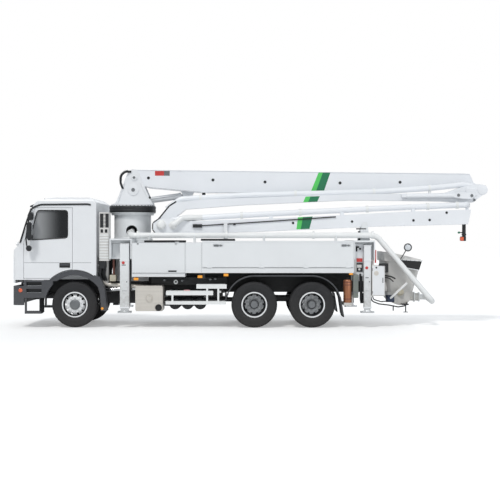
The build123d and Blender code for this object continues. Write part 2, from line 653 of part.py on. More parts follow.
with BuildPart() as rod:
    with BuildSketch(Plane(origin=on_lift(110), z_dir=lift_way)) as end:
        Circle(lift_rod_r)
    extrude(end.sketch, amount=lift_length - 40 - 110, dir=lift_way)
    cross_pin(lift_eye[0], lift_eye[1], 62, (lift_y - 40, lift_y + 40))
    cross_pin(lift_eye[0], lift_eye[1], 34, (lift_y - 52, lift_y + 52))
save(rod.part, "lift_rod")

# Boom section 1: a deep tapering box from the turret to the rear knee, with its pipe on the far side
knee_hub_r = 125.0
pipe_1_y = boom_1_y[1] + 190
with BuildPart() as boom_1:
    side_plate(((1130, 3560), (1180, 3720), (1250, 3765), (5000, 3720), (9300, 3672), (9465, 3660), (9560, 3450), (9800, 3300),
                (9800, 3200), (9700, 3150), (9600, 3180), (9300, 3330), (8900, 3400), (6600, 3225), (2900, 3205),
                (1640, 3320), (1360, 3400), (1200, 3440)), boom_1_y)
    cross_pin(root_x, root_z, root_pin_r + running_gap, boom_1_y, Mode.SUBTRACT)
    for x in (2200, 5200, 8200):
        block((fa(x), fa(x + 60)), (boom_1_y[1], pipe_1_y), (3450, 3510))
    for low, high in ((lift_y - 110, lift_y - 60), (lift_y + 60, lift_y + 110)):
        side_plate(((2400, 3260), (2740, 3260), (2640, 3070), (2490, 3070)), (low, high))
    cross_pin(knee_x, knee_z, pin_r, (boom_2_y[0], boom_1_y[1] + 30))
    tube(((root_x, cheeks_y[1][1] + 14, root_z), (root_x, pipe_1_y, root_z),
          (root_x + 320, pipe_1_y, 3480), (knee_x - 320, pipe_1_y, 3480),
          (knee_x, pipe_1_y, knee_z), (knee_x, boom_1_y[1] + 5, knee_z)), (100, 300, 300, 100), pipe_r)
save(boom_1.part, "boom_section_1")

# Boom section 2: under the first, beside it, reaching forward to the front elbow
elbow_hub_r = 150.0
pipe_2_y = -300.0
pipe_3_y = -615.0
with BuildPart() as boom_2:
    side_plate(((9700, 3385), (9500, 3400), (9150, 3310), (8800, 3180), (6500, 3150), (3900, 3060), (2900, 3020),
                (2330, 2960), (2170, 2860), (1850, 2470), (1835, 2360), (1900, 2260), (2010, 2240), (2110, 2300),
                (2250, 2560), (2560, 2790), (3900, 2890), (6500, 3010), (8700, 2985), (9300, 2935), (9480, 2960), (9700, 3130)),
               boom_2_y)
    cross_pin(knee_x, knee_z, knee_hub_r, (boom_2_y[0], boom_1_y[0] - seat_gap))
    cross_pin(elbow_x, elbow_z, elbow_hub_r, (boom_3_y[1] + seat_gap, boom_2_y[1]))
    cross_pin(elbow_x, elbow_z, pin_r, (boom_3_y[0], boom_2_y[0]))
    tube(((2080, pipe_2_y, 2800), (2420, pipe_2_y, 3040), (3900, pipe_2_y, 3130), (7100, pipe_2_y, 3215), (8450, pipe_2_y, 3300),
          (9300, pipe_2_y, 3395), (9786, pipe_2_y, 3270), (9786, pipe_2_y + 90, 3270)), (250, 900, 1500, 1500, 400, 70), pipe_r)
    cross_pin(knee_x, knee_z, pin_r + running_gap, (boom_2_y[0] - 10, boom_1_y[0]), Mode.SUBTRACT)
save(boom_2.part, "boom_section_2")

# Boom section 3: the lowest box, back from the elbow to its tip behind the truck
tip_x = 9360.0
with BuildPart() as boom_3:
    side_plate(((1880, 2190), (4300, 2246), (7100, 2370), (9290, 2425), (tip_x, 2775), (7700, 2720), (5300, 2590),
                (2600, 2495), (2250, 2560), (1960, 2560), (1800, 2450), (1795, 2300)), boom_3_y)
    cross_pin(elbow_x, elbow_z, pin_r + running_gap, boom_3_y, Mode.SUBTRACT)
    tube(((2200, pipe_3_y, 2500), (2420, pipe_3_y, 2560), (3900, pipe_3_y, 2640), (7100, pipe_3_y, 2800), (9000, pipe_3_y, 2880),
          (tip_x - 60, pipe_3_y, 2890), (tip_x - 60, pipe_3_y + 130, 2890)), (200, 900, 1500, 1500, 110), pipe_r)
    tube(((9215, pipe_3_y, 2430), (9215, pipe_3_y, 2040)), 0, 30)
    block((fa(9140), fa(9250)), (pipe_3_y - 50, pipe_3_y + 50), (2030, 2130))
save(boom_3.part, "boom_section_3")

# Outriggers: a beam with its upright leg tube, and the inner post with its foot
outriggers = (("front", front_beam_x, beam_pitch_front, front_beam_width, front_beam_low, front_beam_height, 215.0, 1965.0),
              ("rear", rear_beam_x, beam_pitch_rear, rear_beam_width, rear_beam_low, rear_beam_height, 168.0, 1925.0))
leg_y = 1132.0
for place, centre, pitch, width, low, height, leg, leg_high in outriggers:
    for side, hand in ((-1, "left"), (1, "right")):
        x = centre if side < 0 else centre - pitch
        with BuildPart() as beam:
            y = span(side, -housing_half + 30, leg_y)
            block((fa(x - width / 2), fa(x + width / 2)), y, (low, low + height))
            with BuildSketch(Plane.XY.offset(leg_low)) as outer:
                with Locations((fa(x), side * leg_y)):
                    RectangleRounded(leg, min(leg, 190), 18)
            extrude(outer.sketch, amount=leg_high - leg_low, dir=(0, 0, 1))
            with BuildSketch(Plane.XY.offset(leg_low)) as inner:
                with Locations((fa(x), side * leg_y)):
                    Rectangle(leg - 2 * leg_wall, min(leg, 190) - 2 * leg_wall)
            extrude(inner.sketch, amount=leg_high - leg_low - 60, dir=(0, 0, 1), mode=Mode.SUBTRACT)
        save(beam.part, f"outrigger_beam_{place}_{hand}")
        with BuildPart() as jack:
            with BuildSketch(Plane.XY.offset(foot_low + foot_thick)) as post:
                with Locations((fa(x), side * leg_y)):
                    Rectangle(leg - 2 * leg_wall - 2 * seat_gap, min(leg, 190) - 2 * leg_wall - 2 * seat_gap)
            extrude(post.sketch, amount=1100, dir=(0, 0, 1))
            with BuildSketch(Plane.XY.offset(foot_low)) as foot:
                with Locations((fa(x), side * leg_y)):
                    RectangleRounded(320, 235, 30)
            extrude(foot.sketch, amount=foot_thick, dir=(0, 0, 1))
        save(jack.part, f"outrigger_jack_{place}_{hand}")

# Deck: a hollow locker and a tray along each side, on a sub-frame over the rails
with BuildPart() as deck:
    for side in (-1, 1):
        block((fa(locker_front), fa(locker_rear)), span(side, deck_in, deck_out), (locker_low, locker_high))
        block((fa(locker_front + deck_wall), fa(locker_rear - deck_wall)), span(side, deck_in + deck_wall, deck_out + 5),
              (locker_low + deck_wall, locker_high - deck_wall), Mode.SUBTRACT)
        block((fa(locker_front), fa(locker_rear)), span(side, deck_out - 1, half_width), (locker_low, locker_low + 72))
        block((fa(locker_rear), fa(tray_front)), span(side, deck_in, half_width), (deck_low, locker_high))
        block((fa(tray_front), fa(tray_rear)), span(side, deck_in, deck_out), (deck_low, deck_high))
        block((fa(tray_front + deck_wall), fa(tray_rear - deck_wall)), span(side, deck_in + deck_wall, deck_out + 5),
              (strip_high, deck_high - deck_wall), Mode.SUBTRACT)
        block((fa(tray_front), fa(tray_rear)), span(side, deck_out - 1, half_width), (deck_low, strip_high - 5))
    for side in (-1, 1):
        for x in locker_hinges:
            block((fa(x), fa(x + 28)), span(side, deck_out - 30, half_width + 8), (locker_high, locker_hinge_z + 8))
            with BuildSketch(Plane.YZ.offset(fa(x + 27))) as hinge_pin:
                with Locations((side * half_width, locker_hinge_z)):
                    Circle(hinge_pin_r)
            extrude(hinge_pin.sketch, amount=60, dir=(1, 0, 0))
        for x in drop_hinges:
            with BuildSketch(Plane.YZ.offset(fa(x + 91))) as hinge_lug:
                with Locations((side * (half_width + 8), drop_hinge_z)):
                    Circle(7)
                with Locations((side * (half_width + 2), drop_hinge_z - 16)):
                    Rectangle(12, 18)
                with Locations((side * (half_width + 5), drop_hinge_z - 10)):
                    Rectangle(6, 20)
            extrude(hinge_lug.sketch, amount=30, dir=(1, 0, 0))
            with BuildSketch(Plane.YZ.offset(fa(x + 2))) as hinge_pin:
                with Locations((side * (half_width + 8), drop_hinge_z)):
                    Circle(hinge_pin_r)
            extrude(hinge_pin.sketch, amount=90, dir=(1, 0, 0))
save(deck.part, "deck")

for side, hand in ((-1, "left"), (1, "right")):
    with BuildPart() as locker_door:
        block((fa(locker_front + 4), fa(locker_rear - 4)), span(side, half_width - door_thick, half_width),
              (locker_low + 72 + move_gap, locker_high))
        block((fa(2180), fa(2400)), span(side, half_width - 16, half_width + 5),
              (locker_low + 112, locker_low + 152), Mode.SUBTRACT)
        for x in locker_hinges:
            block((fa(x - 6), fa(x + 34)), span(side, half_width - door_thick - 5, half_width + 5),
                  (locker_high - 45, locker_high + 5), Mode.SUBTRACT)
            block((fa(x + 36), fa(x + 80)), span(side, half_width - 9, half_width), (locker_high - 2, locker_hinge_z))
            with BuildSketch(Plane.YZ.offset(fa(x + 36))) as eye:
                with Locations((side * half_width, locker_hinge_z)):
                    Circle(9)
            extrude(eye.sketch, amount=44, dir=(1, 0, 0))
            with BuildSketch(Plane.YZ.offset(fa(x + 34))) as eye:
                with Locations((side * half_width, locker_hinge_z)):
                    Circle(hinge_pin_r + running_gap)
            extrude(eye.sketch, amount=48, dir=(1, 0, 0), mode=Mode.SUBTRACT)
    save(locker_door.part, f"locker_door_{hand}")
    with BuildPart() as drop_side:
        block((fa(tray_front + 4), fa(tray_rear - 4)), span(side, half_width - door_thick, half_width),
              (strip_high + move_gap, deck_high))
        for x in (3240, 6220):
            block((fa(x), fa(x + 240)), span(side, half_width - 14, half_width + 5), (1880, 1960), Mode.SUBTRACT)
        for x in drop_hinges:
            with BuildSketch(Plane.YZ.offset(fa(x))) as knuckle_eye:
                with Locations((side * (half_width + 8), drop_hinge_z)):
                    Circle(14)
                with Locations((side * (half_width - 5), drop_hinge_z + 14)):
                    Rectangle(26, 30)
                with Locations((side * (half_width + 8), drop_hinge_z)):
                    Circle(hinge_pin_r + running_gap, mode=Mode.SUBTRACT)
            extrude(knuckle_eye.sketch, amount=90, dir=(1, 0, 0))
    save(drop_side.part, f"drop_side_{hand}")

# Rear frame: cross housing for the rear outriggers, legs down to the rails and the boom's rest
rear_front = 6530.0
rear_end = 7020.0
rear_low = 1590.0
rest_x = 6800.0


def boom_3_under(x):
    """Height of section 3's underside at a place behind the elbow."""
    return 2246 + (x - 4300) * (2370 - 2246) / (7100 - 4300)


with BuildPart() as rear_frame:
    block((fa(rear_front), fa(rear_end)), (-housing_half, housing_half), (rear_low, deck_high + 10))
    for side in (-1, 1):
        block((fa(rear_front), fa(rear_end)), span(side, rail_y, rail_y + rail_width), (rail_high, rear_low))
        y = span(side, housing_half, shroud_half)
        block((fa(rear_front), fa(rear_end)), y, (deck_high - 30, deck_high + 10))
        block((fa(rear_front), fa(rear_front + 26)), y, (rear_low, deck_high - 30))
        block((fa(rear_end - 26), fa(rear_end)), y, (rear_low, deck_high - 30))
    beam_ways(rear_beam_x, beam_pitch_rear, rear_beam_width, rear_beam_low, rear_beam_height, shroud_half + 10)
    side_plate(((rest_x - 130, deck_high + 10), (rest_x + 130, deck_high + 10), (rest_x + 60, boom_3_under(rest_x + 60) - seat_gap),
                (rest_x - 60, boom_3_under(rest_x - 60) - seat_gap)), (boom_3_y[0] + 30, boom_3_y[1] - 30))
    side_plate(((rest_x - 150, deck_high + 10), (rest_x + 150, deck_high + 10), (rest_x + 80, 2480), (rest_x - 20, 2480)),
               (boom_3_y[0] - 45, boom_3_y[0] - 20))
save(rear_frame.part, "rear_frame")

# Guards over the tandem, a curved sheet each side with a flap behind
guard_r = 680.0
guard_sheet = 22.0
with BuildPart() as guards:
    for side in (-1, 1):
        y = span(side, 570, trim_half)
        with BuildSketch(Plane.XZ.offset(-max(y))) as sheet:
            for r, mode in ((guard_r, Mode.ADD), (guard_r - guard_sheet, Mode.SUBTRACT)):
                with Locations((fa(rear_hubs[0]), hub_z), (fa(rear_hubs[1]), hub_z)):
                    Circle(r, mode=mode)
                with Locations((fa((rear_hubs[0] + rear_hubs[1]) / 2), hub_z + r / 2)):
                    Rectangle(bogie_gap, r, mode=mode)
            with Locations((fa(5000), 720 - 1000)):
                Rectangle(6000, 2000, mode=Mode.SUBTRACT)
        extrude(sheet.sketch, amount=max(y) - min(y), dir=(0, -1, 0))
        side_plate(((6190, 730), (6215, 730), (6275, 300), (6255, 300)), y)
        for x in (rear_hubs[0] + 150, rear_hubs[1] - 150):
            block((fa(x - 30), fa(x + 30)), span(side, 600, 660), (hub_z + guard_r - 5, deck_low))
            block((fa(x - 30), fa(x + 30)), span(side, rail_y + rail_width, 660), (hub_z + guard_r - 3, hub_z + guard_r + 30))
save(guards.part, "rear_guards")

# Side guard rails and steps between the silencer and the tandem, on hangers from the rails
rails_x = ((2140, 3240, 762, 862), (2130, 3540, 545, 620), (2850, 3555, 915, 1015))
with BuildPart() as side_guards:
    for side in (-1, 1):
        y = span(side, 1175, 1235)
        for front, rear, low, high in rails_x:
            if side < 0 or low < 900:
                block((fa(front if side < 0 else 3000), fa(rear if side < 0 else 3530)), y, (low, high))
        for x in ((2290, 3100, 3360) if side < 0 else (3060, 3480)):
            block((fa(x - 22), fa(x + 22)), y, (545, 920 if x != 2290 else 862))
        for x in ((2200, 3400) if side < 0 else (3250,)):
            block((fa(x - 25), fa(x + 25)), span(side, rail_y + rail_width, 1180), (815, 860))
save(side_guards.part, "side_guards")

# Behind the guards on the left: a round canister, a small tank and the control box under the rear frame
with BuildPart() as boxes:
    round_post(6385, -1120, (560, 1120), 95)
    fillet(boxes.edges().filter_by(GeomType.CIRCLE), 25)
    block((fa(6290), fa(6480)), (-1215, -rail_y - rail_width), (520, 580))
    block((fa(6510), fa(6630)), (-1190, -1000), (700, 1240))
    block((fa(6540), fa(6600)), (-1080, -1010), (1240, rear_low - seat_gap))
    block((fa(6465), fa(6514)), (-1120, -1000), (570, 760))
    block((fa(6945), fa(7245)), (-1235, -1010), (745, 1465))
    block((fa(6950), fa(7010)), (-1090, -1010), (1460, rear_low - seat_gap))
save(boxes.part, "side_boxes")

# Pump: twin oil cylinders, the water box and twin concrete cylinders running back to the hopper
pump_y = 160.0
pump_z = 1095.0
pump_low = 1003.0
pump_high = 1187.0
water_box = (5900.0, 6150.0)
hopper_front = 7330.0
hopper_rear = 8200.0
hopper_half = 700.0
hopper_rim = 1560.0
hopper_wall = 18.0
collar_front = hopper_front - 30
collar_high = hopper_rim + 210
trough_r = 310.0
trough_z = 800.0
trough_x = 7705.0
trough_half = 500.0
with BuildPart() as pump:
    for side in (-1, 1):
        for front, rear, r in ((4650, water_box[0], 60), (water_box[1], 7300, 86)):
            with BuildSketch(Plane.YZ.offset(fa(front))) as end:
                with Locations((side * pump_y, pump_z)):
                    Circle(r)
            extrude(end.sketch, amount=rear - front, dir=(1, 0, 0))
    block((fa(water_box[0]), fa(water_box[1])), (-300, 300), (pump_low, pump_high))
    block((fa(7295), fa(7360)), (-320, 320), (pump_low, pump_high))
    for x in (water_box[0], 7000):
        block((fa(x), fa(x + 80)), (-rail_y, rail_y), (pump_low, rail_high))
save(pump.part, "pump_cylinders")

# Hopper: a flared tub with a rounded trough, open on top, hung from the rear of the rails
hopper_x = (hopper_front + hopper_rear) / 2
outlet_z = 660.0
outlet_x = hopper_rear + 40
with BuildPart() as hopper:
    for grow, mode in ((0.0, Mode.ADD), (-hopper_wall, Mode.SUBTRACT)):
        with BuildSketch(Plane.XY.offset(hopper_rim)):
            with Locations((fa(hopper_x), 0)):
                RectangleRounded(hopper_rear - hopper_front + 2 * grow, 2 * (hopper_half + grow), 90)
        with BuildSketch(Plane.XY.offset(trough_z)):
            with Locations((fa(trough_x), 0)):
                RectangleRounded(2 * (trough_r + grow), 2 * (trough_half + grow), 90)
        loft(mode=mode)
    with BuildSketch(Plane.XZ.offset(-trough_half)) as trough:
        for r, mode in ((trough_r, Mode.ADD), (trough_r - hopper_wall, Mode.SUBTRACT)):
            with Locations((fa(trough_x), trough_z)):
                Circle(r, mode=mode)
        with Locations((fa(trough_x), trough_z + 1000)):
            Rectangle(2000, 2000, mode=Mode.SUBTRACT)
    extrude(trough.sketch, amount=2 * trough_half, dir=(0, -1, 0))
    with BuildSketch(Plane.XZ.offset(-trough_half)) as cheek_end:
        with Locations((fa(trough_x), trough_z)):
            Circle(trough_r)
        with Locations((fa(trough_x), trough_z + 1000)):
            Rectangle(2000, 2000, mode=Mode.SUBTRACT)
    extrude(cheek_end.sketch, amount=hopper_wall, dir=(0, -1, 0))
    with BuildSketch(Plane.XZ.offset(trough_half - hopper_wall)) as cheek_end:
        with Locations((fa(trough_x), trough_z)):
            Circle(trough_r)
        with Locations((fa(trough_x), trough_z + 1000)):
            Rectangle(2000, 2000, mode=Mode.SUBTRACT)
    extrude(cheek_end.sketch, amount=hopper_wall, dir=(0, -1, 0))
    with BuildSketch(Plane.XY.offset(hopper_rim - 14)) as rim:
        with Locations((fa(hopper_x), 0)):
            RectangleRounded(hopper_rear - hopper_front + 60, 2 * hopper_half + 60, 100)
            RectangleRounded(hopper_rear - hopper_front - 2 * hopper_wall, 2 * (hopper_half - hopper_wall), 70, mode=Mode.SUBTRACT)
    extrude(rim.sketch, amount=14, dir=(0, 0, 1))
    block((fa(collar_front), fa(collar_front + 8)), (-hopper_half - 30, hopper_half + 30), (hopper_rim - 5, collar_high))
    for side in (-1, 1):
        side_plate(((collar_front, hopper_rim - 5), (collar_front, collar_high), (collar_front + 90, collar_high),
                    (hopper_rear - 20, hopper_rim + 25), (hopper_rear - 20, hopper_rim - 5)), span(side, hopper_half + 22, hopper_half + 30))
    for side in (-1, 1):
        block((fa(7100), fa(7395)), span(side, rail_y + rail_width + seat_gap, rail_y + rail_width + 20), (rail_low + 20, rail_high - 20))
    with BuildSketch(Plane.YZ.offset(fa(trough_x + trough_r - 60))) as outlet:
        with Locations((0, outlet_z)):
            Circle(95)
    extrude(outlet.sketch, amount=outlet_x - trough_x - trough_r + 60, dir=(1, 0, 0))
save(hopper.part, "hopper")

# Grate over the hopper, hinged along its front edge
grate_front = hopper_front + 50
grate_rear = hopper_rear - 60
grate_half = hopper_half - 60
grate_z = (hopper_rim + seat_gap, hopper_rim + 36)
with BuildPart() as grate:
    block((fa(grate_front), fa(grate_rear)), (-grate_half - 65, grate_half + 65), grate_z)
    block((fa(grate_front + 30), fa(grate_rear - 30)), (-grate_half, grate_half), (grate_z[0] - 5, grate_z[1] + 5), Mode.SUBTRACT)
    for k in range(14):
        y = -grate_half + (k + 1) * 2 * grate_half / 15
        block((fa(grate_front + 10), fa(grate_rear - 10)), (y - 6, y + 6), grate_z)
    for k in range(3):
        x = grate_front + (k + 1) * (grate_rear - grate_front) / 4
        block((fa(x - 6), fa(x + 6)), (-grate_half - 10, grate_half + 10), (grate_z[0] + 4, grate_z[1] - 4))
save(grate.part, "hopper_grate")

# Delivery line: from the hopper's outlet, up past the rear frame and forward along the deck to the column
line_r = pipe_r
with BuildPart() as line:
    tube(((outlet_x, 0, outlet_z), (8420, 0, outlet_z), (8420, line_y, 590), (7080, line_y, line_z),
          (hole_x, line_y, line_z), (hole_x, -250, hole_z)), (120, 120, 300, 150), line_r)
    for x, low in ((1700, locker_high), (2760, locker_high), (4400, deck_high), (6100, deck_high)):
        block((fa(x), fa(x + 60)), (line_y - 50, line_y + 50), (low + seat_gap, line_z - 40))
save(line.part, "delivery_line")
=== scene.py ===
import bpy
import bmesh
import math
from math import cos, radians, sin
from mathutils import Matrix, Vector


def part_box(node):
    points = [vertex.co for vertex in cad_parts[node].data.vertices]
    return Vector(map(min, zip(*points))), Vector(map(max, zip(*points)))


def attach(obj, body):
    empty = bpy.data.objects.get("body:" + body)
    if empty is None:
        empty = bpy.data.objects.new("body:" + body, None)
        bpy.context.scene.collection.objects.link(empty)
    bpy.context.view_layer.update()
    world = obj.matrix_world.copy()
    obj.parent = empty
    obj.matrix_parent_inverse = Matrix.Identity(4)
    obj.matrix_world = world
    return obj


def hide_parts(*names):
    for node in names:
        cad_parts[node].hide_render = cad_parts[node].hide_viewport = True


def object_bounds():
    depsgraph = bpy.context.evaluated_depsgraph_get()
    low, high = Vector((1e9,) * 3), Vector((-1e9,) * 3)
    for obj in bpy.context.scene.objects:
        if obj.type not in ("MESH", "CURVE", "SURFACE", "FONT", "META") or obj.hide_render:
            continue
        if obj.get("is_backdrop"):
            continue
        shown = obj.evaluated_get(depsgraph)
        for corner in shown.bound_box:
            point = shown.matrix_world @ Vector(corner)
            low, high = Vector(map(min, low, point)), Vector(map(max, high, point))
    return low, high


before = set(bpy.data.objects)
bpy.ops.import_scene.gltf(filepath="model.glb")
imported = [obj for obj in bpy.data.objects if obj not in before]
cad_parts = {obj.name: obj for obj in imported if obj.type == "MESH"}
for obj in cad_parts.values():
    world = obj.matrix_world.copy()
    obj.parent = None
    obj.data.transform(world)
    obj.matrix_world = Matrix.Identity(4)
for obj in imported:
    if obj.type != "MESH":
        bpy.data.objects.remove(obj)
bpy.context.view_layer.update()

# The frame is in metres, +Z up, front towards -X. The shapes below are in millimetres:
# x back from the front axle, y across the truck (the driver's side is -y), z up from the ground
FRONT_AXLE = -4.205
MM = 0.001
TURN = 2 * math.pi
NEAR, BACK, UP = (0, -1, 0), (1, 0, 0), (0, 0, 1)

# Camera: level, looking across the truck from the driver's side, as in the photograph
FOCAL_PIXELS = 1047.0
FRAME_PIXELS = 500.0
SENSOR = 36.0
HORIZON_PIXELS = -10.0
CAMERA_AT = (FRONT_AXLE + 4.10, -25.65, 2.05)
camera_data = bpy.data.cameras.new("camera")
camera_data.sensor_width = SENSOR
camera_data.lens = FOCAL_PIXELS / FRAME_PIXELS * SENSOR
camera_data.shift_y = HORIZON_PIXELS / FRAME_PIXELS
camera_data.clip_end = 400.0
camera = bpy.data.objects.new("camera", camera_data)
bpy.context.scene.collection.objects.link(camera)
camera.location = CAMERA_AT
camera.rotation_euler = (radians(90), 0, 0)
bpy.context.scene.camera = camera
bpy.context.scene.view_settings.view_transform = "Standard"


# Materials
def put(node, **values):
    """Sets a node's inputs; an underscore in a name stands for a space, and colours get their alpha."""
    for name, value in values.items():
        socket = node.inputs[name.replace("_", " ")]
        socket.default_value = (*value, 1) if socket.type == "RGBA" else value
    return node


class Tree:
    """A short way to add nodes to a node tree and to join them."""

    def __init__(self, owner):
        owner.use_nodes = True
        self.nodes, self.links = owner.node_tree.nodes, owner.node_tree.links

    def add(self, kind, **values):
        return put(self.nodes.new("ShaderNode" + kind), **values)

    def join(self, node, output, other, entry):
        self.links.new(node.outputs[output], other.inputs[entry])

    def maths(self, operation):
        node = self.add("Math")
        node.operation = operation
        return node


def colour_stops(ramp, low, high, at=(0.0, 1.0)):
    """A colour ramp of two stops."""
    for stop, colour, place in zip(ramp.color_ramp.elements, (low, high), at):
        stop.position, stop.color = place, (*colour, 1)


def surface(name, colour, rough=0.45, vary=0.05, grain=40.0, bump=0.02, metal=0.0, coat=0.0, alpha=1.0,
            streak=(1, 1, 1), rough_vary=0.08, dirt=None, dirt_z=(0.0, 1.0), glow=0.0):
    """A procedural finish: colour and roughness broken up by noise, a fine bump, and dust low down."""
    m = bpy.data.materials.new(name)
    t = Tree(m)
    bsdf = put(t.nodes["Principled BSDF"], Metallic=metal, Coat_Weight=coat, Coat_Roughness=0.12)
    if alpha < 1.0:
        put(bsdf, Alpha=alpha)
    if glow:
        put(bsdf, Emission_Color=colour, Emission_Strength=glow)
    place = t.add("TexCoord")
    stretch = t.add("Mapping", Scale=streak)
    t.join(place, "Object", stretch, "Vector")
    broad = t.add("TexNoise", Scale=grain * 0.06, Detail=5)
    fine = t.add("TexNoise", Scale=grain, Detail=4)
    for noise in (broad, fine):
        t.join(stretch, "Vector", noise, "Vector")
    ramp = t.add("ValToRGB")
    light = [min(1, c * (1 + vary * 0.4)) for c in colour]
    colour_stops(ramp, [c * (1 - vary) for c in colour], light, (0.3, 0.7))
    t.join(broad, "Fac", ramp, "Fac")
    tone = ramp.outputs["Color"]
    if dirt:
        split = t.add("SeparateXYZ")
        t.join(place, "Object", split, "Vector")
        height = t.add("MapRange", From_Min=dirt_z[0], From_Max=dirt_z[1], To_Min=0.75, To_Max=0.0)
        t.join(split, "Z", height, "Value")
        patch = t.maths("MULTIPLY")
        t.join(height, "Result", patch, 0)
        t.join(fine, "Fac", patch, 1)
        mix = t.add("Mix")
        mix.data_type = "RGBA"
        t.join(patch, "Value", mix, "Factor")
        t.links.new(tone, mix.inputs["A"])
        mix.inputs["B"].default_value = (*dirt, 1)
        tone = mix.outputs["Result"]
    t.links.new(tone, bsdf.inputs["Base Color"])
    gloss = t.add("MapRange", To_Min=max(0.03, rough - rough_vary), To_Max=min(1.0, rough + rough_vary))
    t.join(broad, "Fac", gloss, "Value")
    t.join(gloss, "Result", bsdf, "Roughness")
    relief = t.add("Bump", Strength=bump * 10, Distance=0.002)
    t.join(fine, "Fac", relief, "Height")
    t.join(relief, "Normal", bsdf, "Normal")
    return m


# name, colour, roughness, variation, grain, bump
DUST = (0.30, 0.28, 0.25)
white = surface("white_paint", (0.83, 0.845, 0.865), 0.32, 0.025, 30, 0.008, coat=0.25)
boom_white = surface("boom_white", (0.86, 0.88, 0.91), 0.34, 0.03, 24, 0.008, coat=0.2)
deck_white = surface("deck_white", (0.82, 0.84, 0.855), 0.36, 0.03, 20, 0.012,
    coat=0.2, dirt=DUST, dirt_z=(0.6, 1.5))
pipe_white = surface("pipe_white", (0.86, 0.87, 0.865), 0.36, 0.04, 30, 0.012, coat=0.15)
warm_white = surface("hopper_grey", (0.72, 0.71, 0.69), 0.5, 0.10, 26, 0.03,
    dirt=(0.42, 0.40, 0.36), dirt_z=(0.4, 1.5))
anthracite = surface("anthracite_plastic", (0.062, 0.066, 0.076), 0.5, 0.12, 160, 0.05,
    dirt=(0.12, 0.115, 0.11), dirt_z=(0.2, 1.6))
black = surface("black_plastic", (0.018, 0.019, 0.021), 0.45, 0.2, 120, 0.04)
rubber = surface("rubber", (0.022, 0.022, 0.024), 0.75, 0.25, 90, 0.06)
tyre_rubber = surface("tyre_rubber", (0.021, 0.021, 0.023), 0.78, 0.3, 60, 0.07,
    dirt=(0.055, 0.05, 0.045), dirt_z=(-0.1, 0.9))
frame_dark = surface("frame_dark", (0.022, 0.024, 0.026), 0.55, 0.2, 50, 0.04,
    dirt=(0.10, 0.09, 0.08), dirt_z=(0.3, 1.3))
iron = surface("iron", (0.10, 0.10, 0.105), 0.6, 0.25, 40, 0.08, metal=0.4)
wheel_silver = surface("wheel_silver", (0.84, 0.85, 0.86), 0.34, 0.06, 50, metal=0.15)
chrome = surface("bright_steel", (0.72, 0.73, 0.74), 0.18, 0.04, 60, 0.01, metal=1.0)
dark_steel = surface("dark_steel", (0.25, 0.26, 0.27), 0.4, 0.15, 60, 0.03, metal=0.8)
stainless = surface("stainless", (0.74, 0.70, 0.64), 0.36, 0.08, 14, metal=0.45, streak=(1, 1, 26))
copper = surface("copper_paint", (0.42, 0.17, 0.085), 0.34, 0.25, 40, 0.03, metal=0.55,
    coat=0.3, streak=(6, 6, 0.6))
olive = surface("grey_green_paint", (0.20, 0.22, 0.20), 0.45, 0.15, 40, 0.03)
red = surface("red_plate", (0.62, 0.055, 0.05), 0.4, 0.1, 60, 0.01)
pale_red = surface("pale_red_patch", (0.72, 0.38, 0.38), 0.5, 0.1, 60, 0.01)
red_lens = surface("red_lens", (0.55, 0.03, 0.02), 0.15, 0.1, 200, 0.03, coat=0.6)
amber = surface("amber_lens", (0.95, 0.38, 0.03), 0.2, 0.1, 200, 0.03, coat=0.6, glow=0.12)
orange = surface("indicator_lens", (0.75, 0.13, 0.05), 0.2, 0.1, 200, 0.03, coat=0.6, glow=0.05)
clear_lens = surface("clear_lens", (0.72, 0.75, 0.78), 0.1, 0.12, 120, 0.05, coat=0.8)
light_green = surface("light_green_band", (0.10, 0.62, 0.13), 0.4, 0.05, 40, 0.008)
dark_green = surface("dark_green_band", (0.02, 0.20, 0.09), 0.4, 0.08, 40, 0.008)
valve_green = surface("valve_green", (0.02, 0.16, 0.09), 0.4, 0.1, 60, 0.02)
brown = surface("brown_paint", (0.20, 0.07, 0.05), 0.5, 0.2, 60, 0.03)
beige = surface("beige_box", (0.52, 0.48, 0.38), 0.5, 0.1, 50, 0.02)
blue_black = surface("motor_blue", (0.03, 0.045, 0.09), 0.4, 0.2, 60, 0.03)
glass = surface("dark_glass", (0.02, 0.024, 0.026), 0.06, 0.1, 6, 0.0, coat=0.5,
    alpha=0.93, rough_vary=0.02)
pane = surface("side_glass", (0.025, 0.028, 0.028), 0.07, 0.1, 6, 0.0, coat=0.4, alpha=0.9, rough_vary=0.02)
seat_cloth = surface("seat_cloth", (0.05, 0.052, 0.058), 0.85, 0.3, 300, 0.08)
seam_grey = surface("panel_gap", (0.16, 0.17, 0.18), 0.6, 0.1, 60, 0.01)

# The side panes' colour carries a painted reflection: a bright yard at their front edge and a dark one at
# their rear edge
PANE_REFLECTION_FADE = (FRONT_AXLE - 1.02, FRONT_AXLE - 0.28)
t = Tree(pane)
place, split, fade, ramp = t.add("TexCoord"), t.add("SeparateXYZ"), t.add("MapRange"), t.add("ValToRGB")
fade.interpolation_type = "SMOOTHSTEP"
put(fade, From_Min=PANE_REFLECTION_FADE[0], From_Max=PANE_REFLECTION_FADE[1])
colour_stops(ramp, (0.42, 0.43, 0.44), (0.006, 0.007, 0.008))
t.join(place, "Object", split, "Vector")
t.join(split, "X", fade, "Value")
t.join(fade, "Result", ramp, "Fac")
t.join(ramp, "Color", t.nodes["Principled BSDF"], "Base Color")

